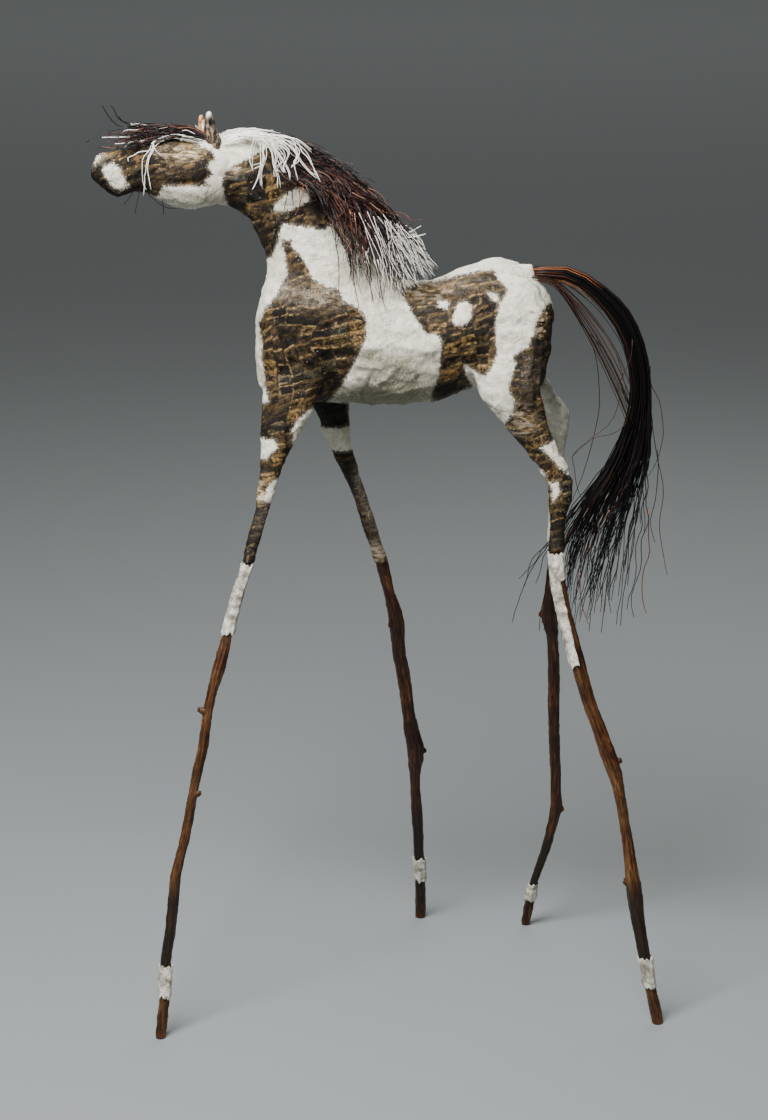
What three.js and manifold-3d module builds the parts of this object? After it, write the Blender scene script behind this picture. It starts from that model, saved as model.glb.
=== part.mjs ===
// A standing horse, about 0.6 m tall: a papier-mache body on four crooked sticks, with two rolled ears
// and a forelock, mane and tail of wire.
// Millimetres, +Z up. The horse faces -X and its left side faces -Y. The pieces are drawn from an upright
// line just in front of the middle of its back, and the whole is then moved along X so that the origin
// is on the floor under its middle.

import * as THREE from "three";
import { mergeVertices } from "three/addons/utils/BufferGeometryUtils.js";
import Module from "manifold-3d";

const wasm = await Module();
wasm.setup();

// Driving dimensions
const MIDDLE_X = 4; // middle of the whole sculpture, from nose to left hind foot
const BREAST_X = -77; // foremost point of the breast
const BUTTOCK_X = 116; // rearmost point of the rump
const BELLY_HEIGHT = 400;
const BACK_HEIGHT = 482;
const RUMP_HEIGHT = 495;
const BARREL_HALF_WIDTH = 34;
const POLL = new THREE.Vector3(-95, 0, 577); // top of the head, where the neck ends
const NOSE_X = -184.5; // before the head is turned
const CHEEK_HALF_WIDTH = 16.5;
const HEAD_TURN = THREE.MathUtils.degToRad(14); // the head looks a little to its left
const DOCK = new THREE.Vector3(103, 0, 488); // where the tail leaves the rump
const TAIL_REACH_X = 182; // rearmost point of the tail
const TAIL_LOCK_RADIUS = 4.5; // half the thickness of one lock of the tail
const TAIL_END_Z = 262;
const WRAP_THICKNESS = 0.9; // paper wound round a stick
const JOINT_GAP = 0.3; // between two pieces that touch
const RING_PITCH = 12; // the most between two rings along a leg

// Materials
const finish = (color, roughness, metalness = 0) =>
  new THREE.MeshStandardMaterial({ color, roughness, metalness });
const BODY_PAPER = finish(0xb9ae98, 0.75);
const EAR_BARK = finish(0x8a6a45, 0.7);
const STICK_WOOD = finish(0x5a3418, 0.45);
const WHITE_PAPER = finish(0xdcd8cc, 0.8);
const MANE_WIRE = finish(0x4a3034, 0.4);
const TAIL_WIRE = finish(0x1d1618, 0.35);

// Smooth values along a row of stations, each a place followed by the values there.
function profile(stations) {
  const places = stations.map(([place]) => place);
  const values = stations.flatMap(([, ...rest]) => rest);
  const line = new THREE.CubicInterpolant(places, values, stations[0].length - 1);
  return (place) => [...line.evaluate(place)];
}

// The solid inside a closed geometry, with its faces pointing out.
function solid(geometry) {
  const bare = new THREE.BufferGeometry();
  bare.setAttribute("position", geometry.getAttribute("position"));
  bare.setIndex(geometry.index);
  const merged = mergeVertices(bare, 1e-4);
  const triVerts = new Uint32Array(merged.index.array);
  const vertProperties = new Float32Array(merged.attributes.position.array);
  const made = new wasm.Manifold(new wasm.Mesh({ numProp: 3, vertProperties, triVerts }));
  if (made.volume() > 0) return made;
  const turned = new Uint32Array(triVerts).reverse();
  return new wasm.Manifold(new wasm.Mesh({ numProp: 3, vertProperties, triVerts: turned }));
}

const joined = (solids) => solids.reduce((sum, next) => sum.add(next));

// A closed tube with flat ends: place(share, a, b) gives the point at that share of its length, for the
// point (a, b) of a unit circle round its middle.
function tube(sides, steps, place) {
  const shape = new THREE.CylinderGeometry(1, 1, 1, sides, steps);
  const position = shape.getAttribute("position");
  for (let i = 0; i < position.count; i++) {
    const share = THREE.MathUtils.clamp(0.5 - position.getY(i), 0, 1);
    const point = place(share, position.getX(i), position.getZ(i));
    position.setXYZ(i, point.x, point.y, point.z);
  }
  return shape;
}

// A mass of the body between the line under it and the line over it, both in the middle plane. Each
// station is [underX, underZ, overX, overZ, halfWidth], and its section is an ellipse.
function mass(stations, sides, swell) {
  const last = stations.length - 1;
  const section = profile(stations.map((station, index) => [index, ...station]));
  return tube(sides, last * 2, (share, a, b) => {
    const [underX, underZ, overX, overZ, halfWidth] = section(share * last);
    const half = new THREE.Vector2(overX - underX, overZ - underZ).divideScalar(2);
    half.setLength(half.length() + swell);
    return new THREE.Vector3(
      (underX + overX) / 2 + half.x * a,
      (halfWidth + swell) * b,
      (underZ + overZ) / 2 + half.y * a,
    );
  });
}

const SLIM_LEG = 6; // a leg is round up to this radius
const MUSCLE_FLATNESS = 0.55; // past it the leg is narrower across the horse than along it

// A stretch of a leg, level at both ends. Each station is [z, x, y, radius], from the floor up.
function limb(stations, from, to, sides, swell = 0) {
  const section = profile(stations);
  const steps = Math.ceil((to - from) / RING_PITCH);
  return solid(tube(sides, steps, (share, a, b) => {
    const z = THREE.MathUtils.lerp(from, to, share);
    const [x, y, radius] = section(z);
    const breadth = Math.min(radius, SLIM_LEG + (radius - SLIM_LEG) * MUSCLE_FLATNESS);
    return new THREE.Vector3(x + (radius + swell) * a, y + (breadth + swell) * b, z);
  }));
}

// A swelling of muscle: a ball stretched to its half sizes, leaned in the middle plane and put in place.
function muscle(centre, halfSize, lean, swell) {
  const ball = new THREE.SphereGeometry(1, 12, 7);
  ball.scale(halfSize.x + swell, halfSize.y + swell, halfSize.z + swell);
  ball.rotateY(THREE.MathUtils.degToRad(lean));
  ball.translate(centre.x, centre.y, centre.z);
  return solid(ball);
}

// A tapered rod along a curve, such as a lock of wires or an ear, with an oval section.
function lock(curve, sides, steps, radiusAt, flatness = 1) {
  const frames = curve.computeFrenetFrames(steps);
  return solid(tube(sides, steps, (share, a, b) => {
    const ring = Math.round(share * steps);
    const radius = radiusAt(share);
    return curve.getPointAt(share)
      .addScaledVector(frames.normals[ring], radius * a)
      .addScaledVector(frames.binormals[ring], radius * flatness * b);
  }));
}

const smooth = (...points) =>
  new THREE.CatmullRomCurve3(points.map((point) => new THREE.Vector3(...point)));

// The trunk, from the breast to the buttocks.
const TRUNK = [
  [BREAST_X, 430, 450, 8],
  [BREAST_X + 2, 412, 466, 18],
  [BREAST_X + 9, 404, 486, 26],
  [-52, 400, 498, 31],
  [-30, BELLY_HEIGHT + 2, 500, BARREL_HALF_WIDTH - 1],
  [-8, BELLY_HEIGHT + 1, 493, BARREL_HALF_WIDTH],
  [16, BELLY_HEIGHT, BACK_HEIGHT, BARREL_HALF_WIDTH],
  [38, BELLY_HEIGHT + 2, BACK_HEIGHT, 32],
  [56, 409, 489, 30],
  [74, 414, RUMP_HEIGHT + 1, 29],
  [92, 416, RUMP_HEIGHT - 2, 28],
  [BUTTOCK_X - 11, 422, 483, 25],
  [BUTTOCK_X - 3, 434, 472, 17],
  [BUTTOCK_X, 446, 461, 8],
].map(([x, under, over, halfWidth]) => [x, under, x, over, halfWidth]);

// The neck, from its root inside the trunk up to the poll: throat line, crest line.
const NECK = [
  [-77, 446, 12, 476, 27],
  [-71, 478, 1, 492, 26],
  [-70, 494, -12, 509, 23],
  [-74, 507, -22, 527, 19.5],
  [-78, 517, -33, 548, 16.5],
  [-85, 525, -49, 565, 15],
  [-95, 531, -68, 576, 14.5],
  [-105, 534, -86, POLL.z + 2, 14],
  [-112, 537, POLL.x - 3, POLL.z, 11],
];

// The head, looking straight ahead: jaw line, face line.
const HEAD = [
  [-92, 538, -88, 573, 11],
  [-103, 533, -101, 577, 15],
  [-117, 529, -113, 576, CHEEK_HALF_WIDTH],
  [-129, 531, -125, 576, 15.5],
  [-139, 535, -137, 575, 13.5],
  [-148, 541, -147, 572, 11],
  [-157, 541, -156, 570, 9.5],
  [NOSE_X + 18, 538.5, NOSE_X + 19, 569, 9.5],
  [NOSE_X + 10, 541, NOSE_X + 11, 568.5, 9],
  [NOSE_X + 4, 546.5, NOSE_X + 4, 564, 7],
  [NOSE_X, 553, NOSE_X, 558, 2.5],
];

// Turns what is modelled on the straight head with it, about the upright line through the poll.
const turnedWithHead = (geometry) =>
  geometry.translate(-POLL.x, 0, 0).rotateZ(HEAD_TURN).translate(POLL.x, 0, 0);

// The legs, from the floor up. Each has its sole on the floor, its stick up to stickTop and its paper
// part from there into the trunk.
const LEGS = {
  left_fore: {
    stickTop: 304,
    cuff: [26.3, 46.9],
    stick: [
      [0, -140.2, -113, 3.4], [12, -139.1, -110.6, 3.5], [26, -137.5, -107.7, 3.3],
      [51, -136.4, -102.3, 3.9], [64, -134.4, -99.8, 3.6], [86, -131.8, -95.3, 3.3],
      [106, -129.8, -91, 3.7], [130, -123.6, -86.1, 3.4], [166, -116.8, -78.6, 3.4],
      [186, -112.2, -74.5, 3.5], [218, -107, -67.8, 3.2], [237, -101.4, -63.7, 4.2],
      [259, -95.7, -59.4, 3.5], [280, -90.5, -55, 3.2], [304, -82.7, -50.1, 3],
    ],
    paper: [
      [304, -82.7, -50.1, 4], [323, -77.7, -46, 4.2], [341, -72.6, -42.3, 5],
      [357, -69.4, -39, 6.3], [381, -63.6, -33, 10.8], [399, -57.5, -27, 17], [425, -50, -21, 18],
      [446, -46, -16, 12],
    ],
  },
  right_fore: {
    stickTop: 279,
    cuff: [30.5, 48.6],
    stick: [
      [0, 32.4, 111, 3.8], [30, 32.1, 104.8, 3.6], [49, 31.3, 100.8, 3.8], [84, 29.4, 93.5, 3.7],
      [120, 27.8, 86, 4.3], [129, 28.6, 84.1, 6], [139, 28, 82.1, 6.4], [149, 25.3, 80.1, 5.5],
      [161, 23.8, 77.5, 4.6], [189, 20.3, 71.7, 4.6], [217, 15.6, 66, 4.6], [231, 15.3, 63.2, 5.6],
      [239, 14.2, 61.5, 5.4], [251, 11.1, 58.9, 4], [279, 4.4, 53.3, 4.4],
    ],
    paper: [
      [279, 4.4, 53.3, 4.8], [297, -1.2, 49.3, 4.9], [329, -10.6, 42.8, 4.9], [352, -18.8, 38, 5.8],
      [374, -26.2, 33.4, 8.8], [388, -28.5, 30, 11], [401, -31, 26, 14.5], [425, -38, 20, 17],
      [446, -40, 15, 12],
    ],
  },
  left_hind: {
    stickTop: 310,
    cuff: [24.1, 44.1],
    stick: [
      [0, 187.2, -88, 3.9], [13, 184.7, -86.1, 3.9], [23, 182.2, -84.6, 3.5],
      [45, 178.1, -81.5, 4.3], [66, 174.1, -78.4, 4.5], [85, 171.4, -75.7, 5.1],
      [110, 167.8, -72.1, 4.4], [133, 164.2, -68.7, 3.6], [161, 159, -64.6, 4.4],
      [174, 154.4, -62.7, 5.8], [189, 149.3, -60.6, 4.9], [212, 140.3, -57.2, 4.5],
      [238, 132.8, -53.5, 5], [260, 126.9, -50.3, 4.6], [286, 120.6, -46.5, 4.6],
      [310, 118.1, -43, 4.4],
    ],
    paper: [
      [310, 118.1, -43, 5.3], [323, 118.8, -41.2, 5.2], [338, 119.6, -39, 6.4],
      [346, 120.7, -37.8, 8.1], [353, 121.2, -36.9, 9], [365, 116, -35.1, 9.2],
      [384, 103.6, -32.3, 12], [400, 94, -29, 17], [418, 86.5, -25, 21.5], [438, 90, -21, 22],
      [460, 92, -15, 14],
    ],
  },
  right_hind: {
    stickTop: 284,
    cuff: [19.7, 32.6],
    stick: [
      [0, 107.8, 96.1, 3.2], [19, 110.5, 92.8, 3.4], [33, 112.9, 90.3, 2.9], [57, 120.2, 86.2, 3.5],
      [85, 126.4, 81.6, 3.6], [91, 128.1, 80.6, 4.5], [99, 127.4, 79.2, 4.1],
      [115, 126.9, 76.4, 3.9], [172, 124.4, 66.7, 4.1], [206, 123.5, 61, 3.9],
      [228, 121.9, 57.1, 4], [240, 119.8, 55.3, 5.9], [259, 121.1, 51.9, 4.8],
      [284, 122, 47.7, 4.1],
    ],
    paper: [
      [284, 122, 47.7, 4.6], [310, 121.8, 43.3, 4.5], [340, 122.1, 38.2, 5], [364, 121.7, 34.2, 6],
      [379, 122.8, 31.5, 7.6], [389, 121, 30, 8.8], [403, 109, 27.4, 11], [418, 98, 25, 14],
      [438, 92, 21, 20], [460, 92, 15, 14],
    ],
  },
};

const STICK_SIDES = 8;
const PAPER_LEG_SIDES = 10;

// The whole papier-mache figure, swollen by a margin where it cuts its neighbours back.
function paperBody(swell = 0) {
  const masses = [
    mass(TRUNK, 18, swell),
    mass(NECK, 14, swell),
    turnedWithHead(mass(HEAD, 14, swell)),
  ].map(solid);
  for (const side of [-1, 1]) {
    const shoulder = new THREE.Vector3(-42, side * 22, 449);
    masses.push(muscle(shoulder, new THREE.Vector3(25, 13, 46), 8, swell));
    const thigh = new THREE.Vector3(90, side * 20, 443);
    masses.push(muscle(thigh, new THREE.Vector3(25, 15, 45), 4, swell));
  }
  const dockLine = smooth([86, 0, 483], [96, 0, 487], [DOCK.x - JOINT_GAP, 0, DOCK.z]);
  masses.push(lock(dockLine, 8, 3, (share) => 8 - 3.5 * share + swell));
  for (const { paper } of Object.values(LEGS)) {
    const from = paper[0][0] + JOINT_GAP - swell;
    masses.push(limb(paper, from, paper.at(-1)[0], PAPER_LEG_SIDES, swell));
  }
  return joined(masses);
}

// A band of paper wound round a stick between two heights.
function sleeve(stick, from, to) {
  const outside = limb(stick, from, to, STICK_SIDES, JOINT_GAP + WRAP_THICKNESS);
  return outside.subtract(limb(stick, from - RING_PITCH, to + RING_PITCH, STICK_SIDES, JOINT_GAP));
}

// A strip glued slantwise down a stick: a sleeve without what lies behind a leaning plane.
function slantedStrip(stick, from, to, edgeTop, lean) {
  const block = new THREE.BoxGeometry(40, 40, 120);
  block.translate(20, 0, -60);
  block.rotateY(THREE.MathUtils.degToRad(-lean));
  block.translate(edgeTop.x, edgeTop.y, edgeTop.z);
  return sleeve(stick, from, to).subtract(solid(block));
}

const TIP_SHARE = 0.25; // radius of a lock's tip as a share of its root
const tapered = (root, power = 1) => (share) => root * (1 - (1 - TIP_SHARE) * share ** power);

// The ears stand on the poll, the left one a little nearer the neck.
const EARS = {
  left_ear: { curve: smooth([-101, -10.8, 568], [-104.6, -11.7, 580], [-106, -12.2, 592]), radius: 4.4 },
  right_ear: { curve: smooth([-108, 6.5, 568], [-110.2, 5.6, 578], [-112.4, 4.9, 588.5]), radius: 3.2 },
};
const earRadius = (radius) => (share) => radius * (1.05 - 0.15 * share - 0.6 * share ** 8);

// The forelock lies forward over the face as one flat bundle whose tips part past the nose.
function forelock() {
  const root = [POLL.x - 13, -3, 575];
  const tips = [[-182, -22, 576], [-170, -18, 581], [-159, -13, 583], [-160, -24, 572]];
  return joined(tips.map(([x, y, z]) => {
    const middle = [(root[0] + x) / 2, (root[1] + y) / 2, (root[2] + z) / 2 + 3];
    return lock(smooth(root, middle, [x, y, z]), 5, 5, tapered(3.4), 1.4);
  }));
}

// The mane grows from the crest and blows back. Its front locks hang short on the near side, its
// longest reach over the withers, and the rest lie on the far side.
const MANE_ROWS = [
  {
    locks: 5,
    root: (share) => [-76 + 40 * share, -4, 577 - 22 * share],
    middle: (share) => [-66 + 52 * share, -19 - 4 * share, 561 - 30 * share],
    tip: (share) => [-73 + 80 * share, -21 - 7 * share, 542 - 70 * share ** 1.5],
  },
  {
    locks: 3,
    root: (share) => [-70 + 36 * share, 0, 576 - 22 * share],
    middle: (share) => [-33 + 28 * share, 0, 554 - 26 * share],
    tip: (share) => [20 + 18 * share, -9 + 16 * share, 501 - 16 * share],
  },
  {
    locks: 3,
    root: (share) => [-72 + 34 * share, 4, 577 - 20 * share],
    middle: (share) => [-52 + 38 * share, 18 + 2 * share, 558 - 28 * share],
    tip: (share) => [-44 + 58 * share, 23, 532 - 46 * share],
  },
];

function mane() {
  const maneLock = (...points) => lock(smooth(...points), 5, 6, tapered(4.6, 1.5), 0.8);
  const locks = [maneLock([-80, 0, 578.5], [-62, 0, 573], [-44, 0, 562], [-28, 0, 543])];
  for (const row of MANE_ROWS)
    for (let i = 0; i < row.locks; i++) {
      const share = i / (row.locks - 1);
      locks.push(maneLock(row.root(share), row.middle(share), row.tip(share)));
    }
  return joined(locks);
}

// The tail arches out from the dock and falls behind the hind legs. Its locks lie side by side between
// an outer and an inner line, which part towards the tips.
function tail() {
  const reach = TAIL_REACH_X - TAIL_LOCK_RADIUS;
  const outer = smooth(
    [DOCK.x, 0, DOCK.z + 1], [129, 0, 489], [153, 0, 474], [169, 0, 449], [reach - 1, 0, 419],
    [reach, 0, 385], [reach - 2, 0, 349], [reach - 7, 0, 310], [reach - 13, 0, TAIL_END_Z + 6],
  );
  const inner = smooth(
    [DOCK.x, 0, DOCK.z - 1], [126, 0, 483], [147, 0, 466], [162, 0, 442], [170, 0, 412],
    [168, 0, 384], [156, 0, 350], [137, 0, 312], [122, 0, TAIL_END_Z],
  );
  const locks = [];
  const count = 7;
  const stations = 8;
  for (let i = 0; i < count; i++) {
    const side = ((i * 2) % 3) - 1;
    const line = [];
    for (let station = 0; station <= stations; station++) {
      const share = station / stations;
      const point = inner.getPointAt(share).lerp(outer.getPointAt(share), i / (count - 1));
      point.y = side * 9 * share ** 1.5;
      line.push(point.toArray());
    }
    const radiusAt = (share) => 2.8 + 2.4 * Math.sin(Math.PI * share) - 1.6 * share;
    locks.push(lock(smooth(...line), 5, 12, radiusAt));
  }
  return joined(locks);
}

// The named pieces
const group = new THREE.Group();
group.position.x = -MIDDLE_X;

function piece(name, made, material) {
  const { vertProperties, triVerts } = made.getMesh();
  const geometry = new THREE.BufferGeometry();
  geometry.setAttribute("position", new THREE.BufferAttribute(vertProperties, 3));
  geometry.setIndex(new THREE.BufferAttribute(triVerts, 1));
  geometry.computeVertexNormals();
  const mesh = new THREE.Mesh(geometry, material);
  mesh.name = name;
  group.add(mesh);
}

piece("paper_body", paperBody(), BODY_PAPER);
for (const [name, { stickTop, cuff, stick }] of Object.entries(LEGS)) {
  piece(`${name}_stick`, limb(stick, 0, stickTop, STICK_SIDES), STICK_WOOD);
  piece(`${name}_cuff`, sleeve(stick, ...cuff), WHITE_PAPER);
}
piece("left_fore_knee_wrap", sleeve(LEGS.left_fore.stick, 259.5, 303.7), WHITE_PAPER);
piece(
  "left_hind_paper_strip",
  slantedStrip(LEGS.left_hind.stick, 236, 309.5, new THREE.Vector3(121, -46, 292), 13),
  WHITE_PAPER,
);

const clearOfBody = paperBody(JOINT_GAP);
for (const [name, { curve, radius }] of Object.entries(EARS))
  piece(name, lock(curve, 8, 5, earRadius(radius), 0.75).subtract(clearOfBody), EAR_BARK);
piece("forelock_wires", forelock().subtract(clearOfBody), MANE_WIRE);
piece("mane_wires", mane().subtract(clearOfBody), MANE_WIRE);
piece("tail_wires", tail().subtract(clearOfBody), TAIL_WIRE);

export default group;
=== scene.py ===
import math
import random

import bpy
import numpy as np
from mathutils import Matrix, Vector, noise
from mathutils.bvhtree import BVHTree


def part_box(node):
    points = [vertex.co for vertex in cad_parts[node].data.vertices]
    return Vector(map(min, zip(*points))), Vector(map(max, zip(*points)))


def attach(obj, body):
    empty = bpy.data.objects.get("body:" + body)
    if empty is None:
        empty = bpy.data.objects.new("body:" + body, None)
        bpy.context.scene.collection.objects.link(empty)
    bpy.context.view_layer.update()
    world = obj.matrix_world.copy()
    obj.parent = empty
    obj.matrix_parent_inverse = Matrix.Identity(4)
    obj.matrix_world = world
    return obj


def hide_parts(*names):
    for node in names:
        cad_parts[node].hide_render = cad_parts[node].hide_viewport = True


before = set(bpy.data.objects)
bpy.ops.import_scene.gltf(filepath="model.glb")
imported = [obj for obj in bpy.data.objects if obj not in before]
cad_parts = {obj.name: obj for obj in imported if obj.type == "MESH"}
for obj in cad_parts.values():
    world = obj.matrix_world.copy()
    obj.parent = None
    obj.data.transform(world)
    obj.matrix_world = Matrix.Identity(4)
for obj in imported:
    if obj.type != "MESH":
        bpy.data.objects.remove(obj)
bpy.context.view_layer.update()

# The camera
# It stands off the horse's left side and looks at it from a little above through a long lens.
MM = 0.001
CAMERA_TARGET = Vector((2, 0, 294)) * MM
CAMERA_DISTANCE = 2.074
CAMERA_ELEVATION = math.radians(14)
CAMERA_LENS = 100
CAMERA_SENSOR = 36

to_camera = Vector((0, -math.cos(CAMERA_ELEVATION), math.sin(CAMERA_ELEVATION)))
camera_data = bpy.data.cameras.new("camera")
camera_data.lens = CAMERA_LENS
camera_data.sensor_width = CAMERA_SENSOR
camera = bpy.data.objects.new("camera", camera_data)
camera.location = CAMERA_TARGET + to_camera * CAMERA_DISTANCE
camera.rotation_euler = to_camera.to_track_quat("Z", "Y").to_euler()
bpy.context.collection.objects.link(camera)
bpy.context.scene.camera = camera

# The studio
# A wide pale floor runs back out of sight, under one large soft lamp above and a little to the left, a
# weak one behind, a far one that lights the end of the floor, and weak even light from all round.
FLOOR_RADIUS = 40
FLOOR_PAINT = "#7f8484"
ROOM_COLOUR = "#f1f1ee"
ROOM_LIGHT = 0.15
LAMPS = {  # places and sizes in metres, power in watts
    "overhead": {"place": (-0.32, -0.66, 1.32), "size": 0.65, "power": 46},
    "back": {"place": (0.5, 1.2, 1.5), "size": 1.2, "power": 10},
    "far_floor": {"place": (0, 9, 7), "size": 6, "power": 190, "aim": Vector((0, 9, 0))},
}


def linear(hex_colour):
    """The linear RGBA colour of an sRGB hex value."""
    channels = [int(hex_colour[i:i + 2], 16) / 255 for i in (1, 3, 5)]
    return [c / 12.92 if c <= 0.04045 else ((c + 0.055) / 1.055) ** 2.4 for c in channels] + [1]


def add_node(tree, kind, inputs=None, stops=None, steps=False, **settings):
    """Adds a node with its settings, its ramp's stops, and its inputs: values or outputs of other nodes."""
    made = tree.nodes.new("ShaderNode" + kind)
    for name, value in settings.items():
        setattr(made, name, value)
    if stops:
        ramp = made.color_ramp
        ramp.interpolation = "CONSTANT" if steps else "LINEAR"
        ramp.elements[0].position = stops[0][0]
        ramp.elements[1].position = stops[-1][0]
        for place, _ in stops[1:-1]:
            ramp.elements.new(place)
        for element, (_, colour) in zip(ramp.elements, stops):
            element.color = linear(colour)
    for socket, value in (inputs or {}).items():
        if isinstance(value, bpy.types.NodeSocket):
            tree.links.new(value, made.inputs[socket])
        else:
            made.inputs[socket].default_value = value
    return made.outputs


def start_finish(name, **shader_values):
    """A new material with its shader's even values set, its node tree and its shader."""
    finish = bpy.data.materials.new(name)
    finish.use_nodes = True
    shader = finish.node_tree.nodes["Principled BSDF"]
    for socket, value in shader_values.items():
        shader.inputs[socket.replace("_", " ")].default_value = value
    return finish, finish.node_tree, shader


bpy.ops.object.select_all(action="DESELECT")
bpy.ops.mesh.primitive_circle_add(vertices=64, radius=FLOOR_RADIUS, fill_type="NGON")
floor = bpy.context.object
floor.name = "studio_floor"
floor_paint, tree, shader = start_finish("matt floor paint", Roughness=0.9)
shader.inputs["Base Color"].default_value = linear(FLOOR_PAINT)
floor.data.materials.append(floor_paint)

room = bpy.data.worlds.new("room")
room.use_nodes = True
room.node_tree.nodes["Background"].inputs["Color"].default_value = linear(ROOM_COLOUR)
room.node_tree.nodes["Background"].inputs["Strength"].default_value = ROOM_LIGHT
bpy.context.scene.world = room
for name, lamp in LAMPS.items():
    lamp_data = bpy.data.lights.new(name + "_lamp", "AREA")
    lamp_data.size = lamp["size"]
    lamp_data.energy = lamp["power"]
    lamp_object = bpy.data.objects.new(name + "_lamp", lamp_data)
    lamp_object.location = lamp["place"]
    aim = Vector(lamp["place"]) - lamp.get("aim", CAMERA_TARGET)
    lamp_object.rotation_euler = aim.to_track_quat("Z", "Y").to_euler()
    bpy.context.collection.objects.link(lamp_object)

# The papier-mache body
# White hand-made paper, pasted up in torn overlapping sheets, with patches of a brown and black paper
# collage let in between them. Trunk, neck, head and the tops of the legs are one piece.
SHELL_PITCH = 1.4  # mm between the points of the shell
SHELL_RELAXING = 30  # passes that round off the edges between its masses
LUMP_SIZE, LUMP_HEIGHT = 19, 1.5  # mm, the lumps of pulp under the paper
WRINKLE_SIZE, WRINKLE_HEIGHT = 6.5, 0.58  # mm
SHEET_SIZE, SHEET_STEP = 17, 0.65  # mm, torn sheets that lap over each other
LAP_HEIGHT = 0.4  # mm that the white paper stands over the collage
LEG_TOP, LEG_FOOT = 400, 330  # mm, between them the relief fades to that of a slim leg
SLIM_RELIEF = 0.45  # of the full relief
POLL_X = -99  # mm, the head turns to its left from here
HEAD_TURN = math.tan(math.radians(14))

# Patch outlines in mm, drawn as (x, z) on the side of the horse: the collage, then the white let
# into it.
LEFT_COLLAGE = [
    [(-192, 577), (-120, 576), (-116, 571), (-109, 568), (-106, 563), (-111, 559), (-107, 553), (-113, 549),
     (-110, 546), (-139, 546), (-143, 539), (-155, 537), (-174, 534), (-192, 538)],
    [(-101, 554), (-88, 561), (-73, 569), (-52, 565), (-36, 552), (-28, 536), (-31, 522), (-36, 517),
     (-53, 520), (-63, 521), (-66, 509), (-71, 498), (-82, 493), (-84, 505), (-91, 520), (-99, 528),
     (-102, 545)],
    [(-64, 511), (-57, 511), (-58, 507), (-50, 500), (-44, 487), (-34, 482), (-27, 480), (-24, 473),
     (-12, 467), (-9, 461), (-10, 448), (-17, 433), (-26, 415), (-39, 397), (-48, 401), (-55, 394),
     (-58, 380), (-62, 296), (-92, 296), (-90, 350), (-79, 405), (-73, 408), (-78, 433), (-80, 455),
     (-75, 465), (-68, 476), (-60, 489)],
    [(12, 478), (41, 484), (64, 490), (73, 491), (76, 485), (82, 480), (77, 471), (74, 458), (75, 438),
     (69, 425), (64, 425), (58, 429), (54, 431), (55, 424), (60, 414), (52, 409), (34, 403), (33, 409),
     (38, 425), (39, 446), (37, 451), (30, 452), (24, 459)],
    [(102, 464), (107, 468), (120, 466), (125, 400), (140, 360), (125, 300), (105, 300), (107, 361),
     (94, 374), (79, 393), (86, 402), (86, 410), (82, 417), (87, 433), (85, 438), (95, 444), (98, 453)],
]
LEFT_WHITE = [
    [(-177, 559), (-171, 561), (-166, 557), (-164, 552), (-161, 546), (-167, 544), (-173, 548), (-176, 554)],
    [(-191, 560), (-188, 572), (-177, 573), (-174, 568), (-179, 563), (-185, 557)],
    [(-70, 530), (-64, 529), (-53, 532), (-46, 536), (-46, 542), (-52, 545), (-58, 542), (-67, 534)],
    [(-90, 386), (-77, 384), (-69, 384), (-66, 379), (-72, 375), (-74, 372), (-90, 370)],
    [(-58, 389), (-53, 398), (-45, 404), (-40, 398), (-47, 393), (-52, 387)],
    [(-73, 355), (-67, 359), (-60, 350), (-66, 340), (-76, 345), (-74, 351)],
    [(46, 461), (50, 471), (56, 472), (59, 468), (58, 461), (53, 457), (48, 457)],
    [(37, 472), (44, 471), (43, 467), (37, 468)],
    [(68, 478), (75, 477), (77, 472), (71, 473)],
    [(103, 379), (110, 382), (122, 386), (130, 365), (122, 361), (116, 366), (108, 375)],
    [(110, 356), (115, 357), (116, 351), (112, 344), (111, 350)],
]
RIGHT_COLLAGE = [
    [(-192, 574), (-126, 578), (-114, 566), (-116, 548), (-150, 542), (-174, 534), (-192, 538)],
    [(-96, 550), (-84, 566), (-58, 556), (-40, 532), (-52, 506), (-82, 494), (-94, 520)],
    [(-62, 478), (-36, 486), (-14, 470), (-12, 440), (-26, 414), (-20, 379), (-44, 379), (-50, 400),
     (-70, 412), (-76, 446)],
    [(-42, 362), (-14, 362), (10, 270), (-8, 270)],
    [(18, 470), (44, 482), (62, 470), (66, 440), (44, 424), (30, 404), (22, 430)],
    [(84, 486), (108, 470), (112, 440), (94, 436), (80, 452)],
]
RIGHT_WHITE = [
    [(-176, 560), (-164, 558), (-162, 548), (-174, 547)],
    [(-84, 540), (-70, 548), (-56, 538), (-66, 532), (-74, 524)],
    [(34, 454), (46, 462), (60, 452), (50, 446), (44, 436)],
]
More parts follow.
